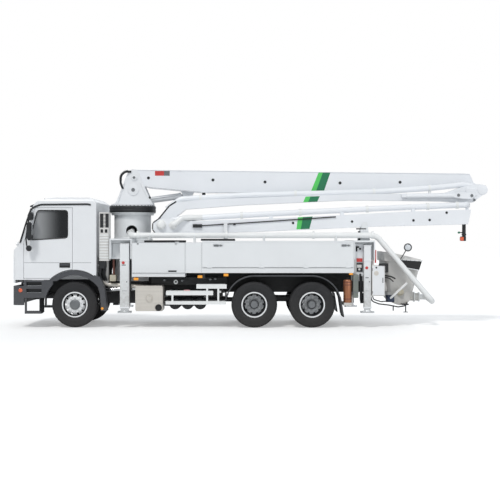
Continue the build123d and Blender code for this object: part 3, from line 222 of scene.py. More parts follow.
# The finish of each CAD node, by what its name starts with
NODE_FINISH = (
    (frame_dark, "chassis_frame"), (iron, "axles knuckle engine pump_cylinders"),
    (white, "cab_shell door turret lift_barrel"), (glass, "cab_glass"), (pane, "door_glass"),
    (seat_cloth, "cab_interior"), (black, "mirror air_bottles hopper_grate"),
    (anthracite, "cab_lower_trim rear_guards"), (warm_white, "air_intake side_boxes hopper"),
    (clear_lens, "head_lamps"), (stainless, "silencer"), (dark_steel, "fuel_tank"),
    (chrome, "lift_rod outrigger_jack"), (boom_white, "boom_section"),
    (deck_white, "pedestal deck locker_door drop_side rear_frame outrigger_beam"),
    (pipe_white, "side_guards delivery_line"), (wheel_silver, "front_rim rear_rims"),
    (tyre_rubber, "front_tyre rear_tyres"),
)
START_FINISH = {start: finish for finish, starts in NODE_FINISH for start in starts.split()}
for node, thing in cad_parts.items():
    start = max((s for s in START_FINISH if node.startswith(s)), key=len)
    thing.data.materials.clear()
    thing.data.materials.append(START_FINISH[start])


def spot(point):
    """A point of the shapes below in the frame's metres."""
    return Vector((FRONT_AXLE + point[0] * MM, point[1] * MM, point[2] * MM))


def round_about(r, count, start=0.0):
    """Evenly spaced places on a circle, as two offsets."""
    return [(r * cos(t), r * sin(t)) for t in (TURN * (k + start) / count for k in range(count))]


class Piece:
    """Gathers shapes in millimetres and turns them into one object on one body."""

    def __init__(self, name, finish, bevel=4, body="chassis", smooth=35):
        self.name, self.body, self.finish, self.bevel, self.smooth = name, body, finish, bevel, smooth
        self.bm = bmesh.new()

    def vert(self, x, y, z):
        return self.bm.verts.new(spot((x, y, z)))

    def block(self, x0, x1, y0, y1, z0, z1, taper=1.0):
        """A box between two places on each axis; taper narrows its top in x and y."""
        y0, y1 = sorted((y0, y1))
        vs = []
        for z, k in ((z0, 1.0), (z1, taper)):
            cx, cy, hx, hy = (x0 + x1) / 2, (y0 + y1) / 2, (x1 - x0) / 2 * k, (y1 - y0) / 2 * k
            vs += [self.vert(cx + i * hx, cy + j * hy, z) for i, j in ((-1, -1), (1, -1), (1, 1), (-1, 1))]
        for f in ((3, 2, 1, 0), (4, 5, 6, 7), (0, 1, 5, 4), (1, 2, 6, 5), (2, 3, 7, 6), (3, 0, 4, 7)):
            self.bm.faces.new([vs[i] for i in f])
        return self

    def plate(self, outline, y):
        """An outline of (x, z) given a thickness across the truck."""
        low, high = sorted(y)
        pts = list(outline)
        area = sum(a[0] * b[1] - b[0] * a[1] for a, b in zip(pts, pts[1:] + pts[:1]))
        if area <= 0:
            pts.reverse()
        near = [self.vert(x, low, z) for x, z in pts]
        far = [self.vert(x, high, z) for x, z in pts]
        self.bm.faces.new(near)
        self.bm.faces.new(far[::-1])
        n = len(pts)
        for i in range(n):
            self.bm.faces.new((near[(i + 1) % n], near[i], far[i], far[(i + 1) % n]))
        return self

    def strip(self, line, low, high, y):
        """A band along a line of (x, z), from low to high above it."""
        for (xa, za), (xb, zb) in zip(line, line[1:]):
            self.plate([(xa, za + low), (xb, zb + low), (xb, zb + high), (xa, za + high)], y)
        return self

    def edge(self, line, thick, y):
        """A strip in front of a line of (x, z), square to it."""
        for (xa, za), (xb, zb) in zip(line, line[1:]):
            way = Vector((xb - xa, 0, zb - za)).normalized()
            out = Vector((way.z, 0, -way.x)) * thick
            if out.x > 0:
                out = -out
            self.plate([(xa, za), (xb, zb), (xb + out.x, zb + out.z), (xa + out.x, za + out.z)], y)
        return self

    def lathe(self, profile, centre, way, sides=32):
        """Turns a profile of (distance along, radius) about an axis through centre."""
        way = Vector(way).normalized()
        u = way.orthogonal().normalized()
        v = way.cross(u)
        centre = spot(centre)
        rings = []
        for d, r in profile:
            rim = round_about(1, sides) if r else [(0, 0)]
            at = centre + way * (d * MM)
            rings.append([self.bm.verts.new(at + (u * a + v * b) * (r * MM)) for a, b in rim])
        for a, b in zip(rings, rings[1:]):
            for i in range(sides):
                j = (i + 1) % sides
                if len(a) == 1 and len(b) == 1:
                    continue
                if len(a) == 1:
                    self.bm.faces.new((a[0], b[i], b[j]))
                elif len(b) == 1:
                    self.bm.faces.new((a[j], a[i], b[0]))
                else:
                    self.bm.faces.new((a[j], a[i], b[i], b[j]))
        return self

    def collar(self, low, high, inner, outer, centre, way, sides=28):
        """A ring or, with an inner radius of 0, a stud between two distances along an axis."""
        return self.lathe(((low, inner), (low, outer), (high, outer), (high, inner)), centre, way, sides)

    def bar(self, p0, p1, r, sides=20):
        """A round bar with flat ends between two points."""
        way = spot(p1) - spot(p0)
        return self.collar(0, way.length / MM, 0, r, p0, way, sides)

    def disc(self, x, z, r, y, sides=24):
        """A round boss lying across the truck, from y[0] to y[1]."""
        y0, y1 = sorted(y)
        return self.bar((x, y0, z), (x, y1, z), r, sides)

    def pipe(self, points, r, bend=80, sides=16, steps=6):
        """A round pipe along straight runs with rounded corners."""
        pts = [spot(p) for p in points]
        path = [pts[0]]
        for a, b, c in zip(pts, pts[1:], pts[2:]):
            into, out = (b - a), (c - b)
            turn = into.angle(out, 0.0)
            if turn < 0.02:
                path.append(b)
                continue
            cut = min(bend * MM * math.tan(turn / 2), into.length * 0.48, out.length * 0.48)
            start, stop = b - into.normalized() * cut, b + out.normalized() * cut
            for i in range(steps + 1):
                t = i / steps
                path.append((1 - t) ** 2 * start + 2 * t * (1 - t) * b + t * t * stop)
        path.append(pts[-1])
        up = (path[1] - path[0]).orthogonal().normalized()
        rings = []
        for i, p in enumerate(path):
            way = (path[min(i + 1, len(path) - 1)] - path[max(i - 1, 0)]).normalized()
            up = (up - way * up.dot(way)).normalized()
            side = way.cross(up)
            rim = round_about(1, sides)
            rings.append([self.bm.verts.new(p + (up * a + side * b) * (r * MM)) for a, b in rim])
        for a, b in zip(rings, rings[1:]):
            for i in range(sides):
                j = (i + 1) % sides
                self.bm.faces.new((a[i], a[j], b[j], b[i]))
        self.bm.faces.new(rings[0][::-1])
        self.bm.faces.new(rings[-1])
        return self

    def done(self, slot=None, replaces=None):
        """Makes the object, softens its edges, gives it its body and hides the node it replaces; the slot
        is not used.
        """
        bmesh.ops.recalc_face_normals(self.bm, faces=self.bm.faces)
        mesh = bpy.data.meshes.new(self.name)
        self.bm.to_mesh(mesh)
        self.bm.free()
        thing = bpy.data.objects.new(self.name, mesh)
        bpy.context.scene.collection.objects.link(thing)
        mesh.materials.append(self.finish)
        mesh.shade_smooth()
        mesh.set_sharp_from_angle(angle=radians(self.smooth))
        if self.bevel:
            soften = thing.modifiers.new("soften", "BEVEL")
            soften.width = self.bevel * MM
            soften.segments = 2
            soften.limit_method = "ANGLE"
            soften.angle_limit = radians(40)
            soften.harden_normals = True
        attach(thing, self.body)
        if replaces:
            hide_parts(replaces)
        return thing


# Tyres: ribbed tread, cross cuts at the shoulders and ringed side walls
HUB_Z = 538
FRONT_Y = 1022
TWIN_Y = (1088, 748)
TYRE_HALF = (
    (118, 286), (131, 297), (147, 332), (148.5, 336), (154.5, 372), (157, 400), (156.5, 404),
    (155.5, 452), (152.5, 470), (154.5, 476), (146, 502), (139, 519), (122, 531), (96, 534.5),
    (79, 535.5), (75, 522), (67, 522), (63, 536.5), (29, 537.5), (25, 524), (17, 524), (13, 538),
)
TREAD_STEPS = 132
SHOULDER, SHOULDER_CUT = (90, 143), 11
MIDDLE, MIDDLE_R, MIDDLE_CUT = 65, 530, 5


def tyre(name, body, x, ys, node):
    """One tyre or a pair of twins, as one piece."""
    p = Piece(name, tyre_rubber, 0, body, smooth=30)
    for y in ys:
        outline = [*TYRE_HALF, *((-d, r) for d, r in reversed(TYRE_HALF))]
        rings = []
        for d, r in outline:
            ring = []
            for i in range(TREAD_STEPS):
                t = TURN * i / TREAD_STEPS
                rr = r
                if SHOULDER[0] < abs(d) < SHOULDER[1] and i % 4 == 0:
                    rr = r - SHOULDER_CUT
                if abs(d) < MIDDLE and r > MIDDLE_R and (i + (2 if d > 0 else 0)) % 6 == 0:
                    rr = r - MIDDLE_CUT
                ring.append(p.vert(x + rr * cos(t), y + d, HUB_Z + rr * sin(t)))
            rings.append(ring)
        for a, b in zip(rings, rings[1:] + rings[:1]):
            for i in range(TREAD_STEPS):
                j = (i + 1) % TREAD_STEPS
                p.bm.faces.new((a[i], a[j], b[j], b[i]))
    return p.done("tyre", node)


def nuts(p, x, y, out, pitch_r, count=10, r=19, high=24):
    """A ring of wheel nuts standing on a disc."""
    profile = ((0, 0), (0, r * 1.25), (4, r * 1.25), (5, r), (high * 0.7, r), (high, r * 0.6), (high, 0))
    for a, b in round_about(pitch_r, count, 0.5):
        p.lathe(profile, (x + a, y, HUB_Z + b), (0, out, 0), 6)


SIDES = ((-1, "left"), (1, "right"))
for s, hand in SIDES:
    tyre(f"tread_front_{hand}", f"front_wheel_{hand}", 0, (s * FRONT_Y,), f"front_tyre_{hand}")
    face = s * (FRONT_Y + 108)
    body = f"front_wheel_{hand}"
    p = Piece(f"front_nuts_{hand}", wheel_silver, 1, body)
    nuts(p, 0, face - s * 1, s, 155)
    p.done()
    p = Piece(f"front_hub_cap_{hand}", dark_steel, 2, body)
    p.lathe(((-2, 121), (12, 121), (22, 112), (30, 108), (34, 96), (40, 94), (43, 78), (44.5, 50),
        (44.5, 0)), (0, face, HUB_Z), (0, s, 0), 40)
    for a, b in round_about(100, 8):
        p.collar(18, 33, 0, 8, (a, face, HUB_Z + b), (0, s, 0), 8)
    p.done("wheel_silver")
    Piece(f"front_rim_shadow_{hand}", black, 0, body).lathe(((-60, 269.5), (28, 269.5), (28, 266.5),
        (-46, 266.5), (-34, 246), (-37, 243), (-60, 269.5)), (0, face, HUB_Z), (0, s, 0),
        60).done("wheel_silver")
    for axle, x in ((1, 4200), (2, 5550)):
        body = f"rear_wheels_{axle}_{hand}"
        tyre(f"tread_rear_{axle}_{hand}", body, x, [s * y for y in TWIN_Y], f"rear_tyres_{axle}_{hand}")
        disc = s * (918 + 16)
        p = Piece(f"rear_nuts_{axle}_{hand}", wheel_silver, 1, body)
        nuts(p, x, disc - s * 1, s, 158, r=21, high=40)
        p.lathe(((0, 128), (0, 200), (10, 206), (16, 203), (10, 194), (4, 186), (4, 130)),
            (x, disc, HUB_Z), (0, s, 0), 48)
        p.done()
        p = Piece(f"rear_hub_{axle}_{hand}", dark_steel, 2, body)
        p.lathe(((30, 131), (55, 131), (58, 116), (120, 110), (195, 104), (222, 94), (236, 78),
            (238.5, 40), (238.5, 0)), (x, s * 930, HUB_Z), (0, s, 0), 40)
        for a, b in round_about(96, 12):
            p.collar(190, 226, 0, 8, (x + a, s * 930, HUB_Z + b), (0, s, 0), 8)
        p.done("wheel_silver")
        Piece(f"rear_rim_shadow_{axle}_{hand}", black, 0, body).lathe(((105, 269.5), (268, 269.5),
            (268, 266.5), (118, 266.5), (30, 212), (26, 214), (105, 269.5)), (x, s * 930, HUB_Z),
            (0, s, 0), 60).done("wheel_silver")

# Cab sides: drip rail, handle and grip, window seal, painted shade in the creases, mirrors and the lamp at
# the corner
for s, hand in SIDES:
    side = s * 1230
    rail = ((385, 2872), (300, 2885), (-780, 2875), (-1000, 2800), (-1130, 2420), (-1262, 1985))
    Piece(f"drip_rail_{hand}", black, 3, "cab").pipe([(x, s * 1232, z) for x, z in rail], 21,
        bend=220, sides=10).done()
    door = f"door_{hand}"
    Piece(f"door_handle_{hand}", black, 6, door).block(-345, -95, side, side + s * 12, 1405, 1512).done()
    Piece(f"door_grip_{hand}", anthracite, 8, door).block(-325, -115, side + s * 8, side + s * 34, 1452,
        1487).done()
    # the seal round the side window, its corners cut off 60 mm from their points
    corners = ((-1030, 2050), (-154, 2100), (-154, 2740), (-862, 2740))
    ring = [Vector((x, s * 1230.2, z)) for x, z in corners]
    loop = []
    for a, b, c in zip(ring[-1:] + ring[:-1], ring, ring[1:] + ring[:1]):
        back, on = (a - b).normalized() * 60, (c - b).normalized() * 60
        loop += [b + back, b + (back + on) * 0.25, b + on]
    Piece(f"window_seal_{hand}", black, 0, door).pipe([*loop, *loop[:2]], 12.5, bend=20,
        sides=8, steps=3).done()
    # painted shade: thin grey strips stand for the shade in the creases pressed into the door and the
    # quarter panel
    Piece(f"door_crease_shade_{hand}", seam_grey, 0, door).block(-1165, -55, side, side + s * 1.2, 1516,
        1524).done("cab_white")
    Piece(f"quarter_crease_shade_{hand}", seam_grey, 0, "cab").block(-30, 400, side, side + s * 1.2, 1516,
        1524).done("cab_white")
    # mirror shells: a tall one, a small one above and a round one on the front corner
    my = s * 1400
    p = Piece(f"mirror_shells_{hand}", black, 12, door)
    p.plate([(-1065, 2100), (-1020, 2040), (-955, 2050), (-935, 2120), (-975, 2440), (-1010, 2470),
        (-1055, 2440)], (my - 105, my + 105))
    p.plate([(-1030, 2520), (-980, 2500), (-935, 2530), (-925, 2640), (-955, 2700), (-1000, 2700),
        (-1035, 2620)], (my - 100, my + 100))
    p.lathe(((-50, 0), (-50, 30), (0, 62), (50, 70), (58, 55), (58, 0)), (-1030, s * 1360, 1860),
        (0.2, s, -0.1), 20)
    p.pipe(((-985, s * 1235, 2775), (-985, s * 1380, 2775), (-1030, s * 1385, 2500),
        (-1095, s * 1385, 2100), (-1075, s * 1370, 1900), (-1030, s * 1300, 1840),
        (-1030, s * 1235, 1840)), 16.5, bend=70, sides=10)
    p.done(replaces=f"mirror_{hand}")
    Piece(f"mirror_glass_{hand}", chrome, 0, door).block(-944, -941, my - 85, my + 85, 2140, 2400).done()
    # round lamp at the windscreen's foot
    Piece(f"corner_lamp_{hand}", wheel_silver, 6, "cab").lathe(((-50, 0), (-50, 30), (0, 48), (40, 50),
        (46, 30), (46, 0)), (-1335, s * 1100, 1965), (-1, 0, -0.3), 18).done("cab_white")
# Cab front: grille, wipers, window seal, visor, lamps, plain plate and tow cover; then the steps
p = Piece("grille_mesh", black, 0, "cab")
for row in range(6):
    z = 1240 + row * 92
    p.block(-1407, -1404.5, -855, 855, z + 2, z + 54)
p.done()
p = Piece("grille_ribs", anthracite, 2, "cab")
for row in range(6):
    for k in range(-8, 9):
        p.block(-1426, -1406, k * 100 - 6, k * 100 + 6, 1243 + row * 92, 1293 + row * 92)
p.done()
p = Piece("wipers", black, 2, "cab")
for y0, y1 in ((-900, -250), (-150, 500), (350, 950)):
    p.pipe(((-1262, y0, 2000), (-1258, y0 + 20, 2030), (-1235, y1 - 250, 2100)), 9, bend=20, sides=8)
    p.block(-1232, -1222, y1 - 550, y1 + 50, 2098, 2116)
p.done()
p = Piece("screen_seal", black, 0, "cab")
foot, head = (-1238, 2010), (-978, 2800)
for y in (-1090, 1090):
    p.pipe(((foot[0], y, foot[1]), (head[0], y, head[1])), 14, sides=8)
for x, z in (foot, head):
    p.pipe(((x, -1090, z), (x, 1090, z)), 14, sides=8)
p.done()
Piece("sun_visor", anthracite, 6, "cab").plate([(-1075, 2860), (-965, 2900), (-950, 2872),
    (-1085, 2825)], (-1000, 1000)).done()
p = Piece("front_lamp_glass", clear_lens, 8)
for s in (-1, 1):
    p.block(-1438, -1420, s * 800, s * 1080, 650, 832)
p.done()
p = Piece("lamp_rings", chrome, 2)
for s in (-1, 1):
    for k in (870, 1010):
        p.lathe(((0, 62), (4, 62), (4, 52), (0, 45)), (-1435.5, s * k, 740), (-1, 0, 0), 28)
p.done("lamp")
p = Piece("front_indicators", orange, 6)
for s in (-1, 1):
    p.lathe(((0, 0), (0, 48), (12, 46), (18, 30), (20, 0)), (-1250, s * 1240.5, 877), (0, s, 0), 24)
p.done()
Piece("front_plate", pipe_white, 2).block(-1439.8, -1434, -260, 260, 800, 910).done("lamp")
Piece("tow_cover", black, 6).block(-1405, -1393, -600, 600, 630, 762).done("anthracite")
for s, hand in SIDES:
    side = s * 1240
    p = Piece(f"step_recess_{hand}", black, 4)
    for z in (822, 982):
        p.block(-1112, -763, side - s * 79, side - s * 70, z, z + 86)
    p.done("anthracite")
    p = Piece(f"step_treads_{hand}", dark_steel, 3)
    for z in (819, 979):
        p.block(-1112, -763, side - s * 75, side - s * 4, z - 1, z + 12)
    for k in range(9):
        x = -1130 + k * 42
        p.block(x, x + 14, side - s * 250, side - s * 20, 382, 388)
    p.done("anthracite")
    Piece(f"wheel_flap_{hand}", rubber, 4).block(-800, -765, side - s * 360, side - s * 20, 345,
        800).done("anthracite")
    Piece(f"flap_marker_{hand}", amber, 4).lathe(((0, 0), (0, 32), (10, 30), (16, 18), (18, 0)),
        (655, side, 452), (0, s, 0), 20).done()
    # the seats' headrests, which show through the glass as darker shapes
    p = Piece(f"headrest_{hand}", seat_cloth, 30, "cab")
    p.block(20, 130, s * 420, s * 660, 2262, 2460, taper=0.85)
    p.done()
Piece("antenna", black, 1, "cab").lathe(((0, 0), (0, 22), (12, 18), (16, 6), (22, 4), (50, 4), (55, 17),
    (78, 17), (86, 8), (86, 0)), (-742, -950, 2940), UP, 14).done()

# Behind the cab: intake louvres and slots, hoses, brown post, beige box and the exhaust run
p = Piece("intake_louvres", pipe_white, 3)
for k in range(9):
    z = 1620 + k * 66
    p.block(575, 785, -1142, -1128, z, z + 30)
p.done("anthracite")
p = Piece("intake_slots", black, 2)
for x in (588, 715):
    p.block(x, x + 75, -1132.5, -1129, 2340, 2670)
for x in (600, 700):
    p.block(x, x + 60, -1132.5, -1129, 2220, 2300)
p.done()
p = Piece("cab_hoses", rubber, 0)
for k, (x, y, r) in enumerate(((600, -740, 22), (650, -700, 19), (700, -770, 24), (750, -660, 18),
    (800, -720, 20), (840, -600, 17))):
    p.pipe(((x - 20, y + 250, 1020), (x - 30, y, 1140), (x + 20 * (k % 3), y - 20, 1450),
        (x + 30, y + 20, 1800), (x + 50, y + 220, 1840)), r, bend=90, sides=10)
p.done()
p = Piece("cab_cable_block", black, 8)
p.block(580, 790, -620, -500, 1100, 1780)
p.block(570, 700, -1120, -900, 1380, 1545)
p.done()
p = Piece("brown_post", brown, 5)
p.block(860, 905, -950, -900, 1070, 1620)
p.block(860, 905, -950, -460, 1070, 1120)
p.done()
p = Piece("beige_box", beige, 10)
p.block(800, 950, -1060, -860, 1080, 1230)
p.block(840, 900, -900, -460, 1070, 1100)
p.done()
Piece("exhaust_skin", chrome, 0).pipe(((1430, -900, 905), (1250, -900, 905), (800, -900, 880),
    (520, -700, 880), (520, -520, 880)), 47, bend=130, sides=20).done("stainless")

# Silencer: straps, a plain round boss and a dark outlet; then the air bottles' caps
p = Piece("silencer_trim", stainless, 2)
for x in (1440, 2020):
    p.block(x, x + 20, -1194, -636, 383, 982)
p.lathe(((0, 86), (6, 84), (6, 72), (0, 70)), (1740, -1204, 690), NEAR, 36)
p.lathe(((0, 50), (5, 48), (5, 0)), (1740, -1204, 690), NEAR, 36)
p.done()
Piece("silencer_outlet", black, 1).lathe(((0, 64), (-50, 66), (-52, 78), (34, 78), (36, 62), (10, 60),
    (5, 0)), (1965, -1190, 470), NEAR, 28).done("stainless")
p = Piece("bottle_caps", frame_dark, 1)
for x in (2340, 2635, 2930):
    for k in (-1020, -640):
        p.collar(0, 30, 137, 142, (x, k, 560), (0, 1, 0), 36)
    p.lathe(((0, 0), (0, 24), (20, 22), (24, 0)), (x, -1158, 560), NEAR, 12)
p.done("bottle_black")

# Deck: markers, latches, hinges, seams, lips, mud flaps, tap, valves, treads, air lines, painted shadow
# under the delivery line and pipe clamps
for s, hand in SIDES:
    side = s * 1250
    p = Piece(f"side_markers_{hand}", amber, 6)
    for x, z in ((1443, 1141), (2934, 1195), (3540, 1236)):
        p.block(x - 55, x + 55, side - s * 50, side - s * 4, z - 32, z + 30)
    p.done()
    Piece(f"rear_side_marker_{hand}", amber, 6).block(6410, 6500, side - s * 50, side, 1235,
        1277).done()
    p = Piece(f"marker_brackets_{hand}", frame_dark, 3)
    for x, z in ((1443, 1170), (2934, 1225), (3540, 1264)):
        p.block(x - 30, x + 30, side - s * 90, side - s * 20, z, 1300 if x > 2600 else 1200)
    p.block(2990, 3050, side - s * 120, side - s * 10, 1150, 1280)
    p.done()
    latch_y = side - s * 13
    p = Piece(f"tray_latches_{hand}", dark_steel, 2, f"drop_side_{hand}")
    for x in (3255, 6235):
        p.block(x, x + 110, latch_y, latch_y + s * 12, 1899, 1941)
        p.bar((x + 100, latch_y + s * 8, 1920), (x + 205, latch_y + s * 8, 1920), 9, 10)
        p.disc(x + 165, 1920, 20, (latch_y, latch_y + s * 12), 16)
    p.done("body_white")
    p = Piece(f"tray_hinge_straps_{hand}", deck_white, 3, f"drop_side_{hand}")
    for x in (3100, 4310, 5340, 6330):
        p.block(x + 20, x + 70, side + s * 0.5, side + s * 6, 1425, 1540, taper=0.9)
        for z in (1460, 1510):
            p.disc(x + 45, z, 9, (side + s * 4, side + s * 11), 8)
    p.done()
    p = Piece(f"tray_edge_rails_{hand}", deck_white, 4, f"drop_side_{hand}")
    p.block(3020, 6500, side + s * 0.3, side + s * 6, 2000, 2029)
    p.block(3020, 6500, side + s * 0.3, side + s * 5, 1416, 1432)
    p.done()
    p = Piece(f"locker_grip_{hand}", black, 3, f"locker_door_{hand}")
    p.block(2195, 2385, side - s * 15.5, side - s * 10, 1306, 1338)
    p.block(2230, 2350, side - s * 12, side - s * 2, 1328, 1337)
    p.done("body_white")
    p = Piece(f"locker_seal_{hand}", seam_grey, 0, f"locker_door_{hand}")
    for z in (1288, 1984):
        p.block(1352, 2577, side, side + s * 1, z - 2, z + 2)
    p.done()
    p = Piece(f"sill_lip_{hand}", deck_white, 4)
    p.block(1344, 2585, side - s * 2, side + s * 6, 1192, 1207)
    p.block(2600, 6525, side - s * 2, side + s * 4, 1282, 1296)
    p.done()
    p = Piece(f"panel_seams_{hand}", seam_grey, 0)
    for x in (2600, 2966):
        p.block(x, x + 3, side, side + s * 0.8, 1300, 1985)
    p.done()
    p = Piece(f"guard_lip_{hand}", anthracite, 4)
    arc = []
    for x, start, sweep in ((4200, 172, 82), (5550, 90, 76)):
        for k in range(13):
            t = radians(start - k * sweep / 12)
            arc.append((x + 676 * cos(t), s * 1235, HUB_Z + 676 * sin(t)))
    p.pipe(arc, 13, bend=10, sides=8, steps=1)
    p.done("guard_grey")
    Piece(f"mud_flap_{hand}", rubber, 3).plate([(6205, 720), (6225, 720), (6300, 250),
        (6272, 250)], (s * 600, s * 1220)).done("guard_grey")
p = Piece("tap_ring", pipe_white, 2)
p.lathe(((0, 50), (12, 50), (14, 30), (0, 26)), (2352, -975, 1060), NEAR, 24)
p.block(2340, 2364, -975, -455, 1020, 1040)
p.done("cylinder_grey")
p = Piece("valve_bits", dark_steel, 3)
for x, z in ((2080, 1100), (2500, 1090), (3160, 1120), (3280, 1130)):
    p.disc(x, z, 22, (-990, -900), 12)
    p.block(x - 30, x + 30, -920, -450, z - 12, z + 12)
p.done("chassis_grey")
p = Piece("side_air_lines", black, 0)
for y, z in ((-620, 1110), (-660, 1060), (-700, 1130), (-580, 1020)):
    p.pipe(((1750, y, z), (2200, y - 30, z - 30), (2900, y + 20, z + 20), (3500, y, z)), 14,
        bend=300, sides=8)
p.done("chassis_grey")
p = Piece("valve_rack", frame_dark, 6)
p.block(1750, 3550, -740, -460, 980, 1160)
p.block(2150, 3450, -800, -500, 700, 800)
p.block(3250, 3500, -900, -500, 800, 1000)
p.done()
Piece("rail_patch", pale_red, 1).block(2560, 2700, -1236.5, -1234.5, 866, 888).done()
p = Piece("step_treads_side", pipe_white, 3)
for front, rear, z in ((2150, 3230, 862), (2860, 3520, 1015), (2140, 3520, 620)):
    p.block(front, rear, -1238, -1060, z - 12, z + 4)
p.done()
# Black round strips lying on the deck under the delivery line are painted shadow of the pipe
p = Piece("deck_pipe_shadow", rubber, 0)
p.pipe(((1620, -1060, 2018), (1900, -1100, 2018), (2200, -1080, 2020), (2600, -1120, 2018)), 26,
    bend=300, sides=10)
p.pipe(((2950, -1100, 2056), (3400, -1140, 2056), (3750, -1100, 2054)), 24, bend=300, sides=10)
p.done()
p = Piece("deck_rail", deck_white, 4)
for x in (1730, 2790, 4430, 6130):
    p.pipe(((x, -985, 2030), (x, -975, 2160), (x, -900, 2238), (x, -825, 2160), (x, -815, 2030)), 11,
        bend=70, sides=8)
p.done()
p = Piece("line_clamps", pipe_white, 3)
for x in (1450, 3550, 5600, 7000):
    p.lathe(((-30, 66.5), (-30, 80), (-12, 84), (12, 84), (30, 80), (30, 66.5)), (x, -900, 2160), BACK, 28)
    p.block(x - 25, x + 25, -930, -870, 2235, 2262)
p.done("line_grey")

# Column, slewing ring and turret
Piece("slewing_ring_skin", black, 4, "turret").lathe(((2715, 557), (2735, 566), (2780, 566), (2784, 560),
    (2800, 560), (2804, 566), (2855, 566), (2872, 556), (2872, 400), (2715, 400), (2715, 557)),
    (1228, 0, 0), UP, 96).done()
p = Piece("ring_bolts", dark_steel, 0, "turret")
for a, b in round_about(535, 36):
    p.collar(2872, 2890, 0, 14, (1228 + a, b, 0), UP, 6)
p.done("mirror_black")
p = Piece("column_lips", deck_white, 3)
p.lathe(((2665, 447), (2665, 470), (2698, 505), (2698, 447)), (1228, 0, 0), UP, 64)
p.lathe(((2090, 447), (2090, 462), (2115, 447)), (1228, 0, 0), UP, 64)
p.done()
# A black tube closed at its end inside the column's hole: painted shade in the recess
Piece("column_hole_shade", black, 0).lathe(((-20, 134.5), (-300, 134.5), (-300, 0)),
    (1250, -400, 2270), NEAR, 40).done()
p = Piece("column_socket", pipe_white, 3)
p.collar(0, 50, 66.5, 84, (1250, -600, 2218), (0, -1, -0.17), 28)
p.collar(-30, 30, 66.5, 81, (1470, -900, 2160), BACK, 28)
p.done("line_grey")
p = Piece("turret_bosses", white, 4, "turret")
p.lathe(((0, 118), (12, 116), (16, 100), (16, 0)), (1254, -136, 3272), NEAR, 40)
p.lathe(((0, 128), (6, 134), (12, 130), (12, 110), (0, 108)), (1254, -136, 3272), NEAR, 40)
p.lathe(((0, 75), (14, 72), (18, 60), (18, 0)), (1274, -134.5, 3572), NEAR, 32)
for a, b in round_about(88, 8, 0.5):
    p.collar(12, 22, 0, 9, (1254 + a, -136, 3272 + b), NEAR, 6)
p.done()
p = Piece("turret_pins", dark_steel, 2, "turret")
p.disc(1274, 3572, 32, (-162, -150), 20)
p.disc(1254, 3272, 45, (-160, -150), 24)
p.done()
p = Piece("turret_ribs", white, 6, "turret")
for x0, x1 in ((840, 1030), (1690, 1420)):
    for y in ((-150, -127), (326, 345)):
        p.plate([(x0, 2914), (x0 + 30, 2914), (x1 + 20, 3450), (x1 - 5, 3450)], y)
p.plate([(760, 2914), (1720, 2914), (1700, 2940), (790, 2940)], (-165, -127))
p.done()
Piece("lift_foot_pin", black, 1, "turret").disc(1660, 3085, 28, (-141, -128.5), 20).done()
# hose guard: a ribbed dark conduit bent over the turret's front top corner
Piece("turret_hose", black, 0, "turret").pipe(((1000, -125, 3300), (950, -167, 3440), (955, -167, 3620),
    (1070, -167, 3722), (1200, -128, 3712)), 28, bend=160, sides=12).done()
p = Piece("turret_hose_rings", rubber, 0, "turret")
for k in range(14):
    t = radians(192 - k * 7.6)
    p.lathe(((-6, 28), (-4, 36), (4, 36), (6, 28)),
        (1125 + 178 * cos(t), -167, 3545 + 178 * sin(t)), (-sin(t), 0, cos(t)), 12)
p.done()


def bands(number, y, top, low):
    """The two green bands across a boom section, from three points along its top and three below."""
    for k, (tone, finish) in enumerate((("light", light_green), ("dark", dark_green))):
        Piece(f"boom_{number}_{tone}_band", finish, 0, f"boom_{number}").plate(
            [*top[k:k + 2], *reversed(low[k:k + 2])], (y - 1.2, y + 0.2)).done()


# Boom section 1: bands, blank plates, dark pin ends, lips, and the ends of the lift cylinder
B1 = -90.5
bands(1, B1, ((5775, 3700), (5880, 3699), (6061, 3697)), ((5582, 3221), (5704, 3222), (5897, 3222)))
Piece("boom_1_red_plate", red, 1, "boom_1").block(1780, 2000, B1 - 3, B1, 3620, 3735).done()
Piece("boom_1_grey_plate", seam_grey, 1, "boom_1").block(2000, 2140, B1 - 3, B1, 3620, 3735).done()
p = Piece("boom_1_pin_ends", black, 1, "boom_1")
for x, z in ((1621, 3564), (3196, 3515), (4466, 3466), (6298, 3442), (7763, 3460)):
    p.disc(x, z, 36, (B1 - 6, B1), 22)
p.block(2930, 3010, B1 - 4, B1 + 100, 3135, 3215)
p.done()
p = Piece("boom_1_lips", boom_white, 2, "boom_1")
top = ((1250, 3765), (5000, 3720), (9300, 3672), (9455, 3657))
low = ((1360, 3400), (1640, 3320), (2900, 3205), (6600, 3225), (8900, 3400))
for y in ((B1 - 10, B1), (290, 300)):
    p.strip(top, 0, -12, y).strip(low, 0, 12, y)
p.done()
# A thin grey line above the lower lip is painted shade for the boom's underside
Piece("boom_1_underside_shade", seam_grey, 0, "boom_1").strip(low[:3], 12, 16, (B1 - 11, B1)).done()
p = Piece("lift_lugs", white, 4, "boom_1")
p.disc(2554, 3150, 50, (-16, -10), 24)
p.disc(2554, 3150, 50, (210, 216), 24)
p.done()
p = Piece("lift_collar", white, 3, "lift_barrel")
F, RISE = Vector((1500, 100, 3010)), Vector((1.054, 0, 0.14)).normalized()
p.lathe(((860, 78), (860, 88), (913, 88), (918, 70), (918, 43)), F, RISE, 32)
p.collar(70, 110, 78, 86, F, RISE, 32)
p.pipe((F + RISE * 120 + Vector((0, -85, 30)), F + RISE * 500 + Vector((0, -90, 30)),
    F + RISE * 860 + Vector((0, -88, 30))), 12, sides=8)
p.done("cylinder_grey")

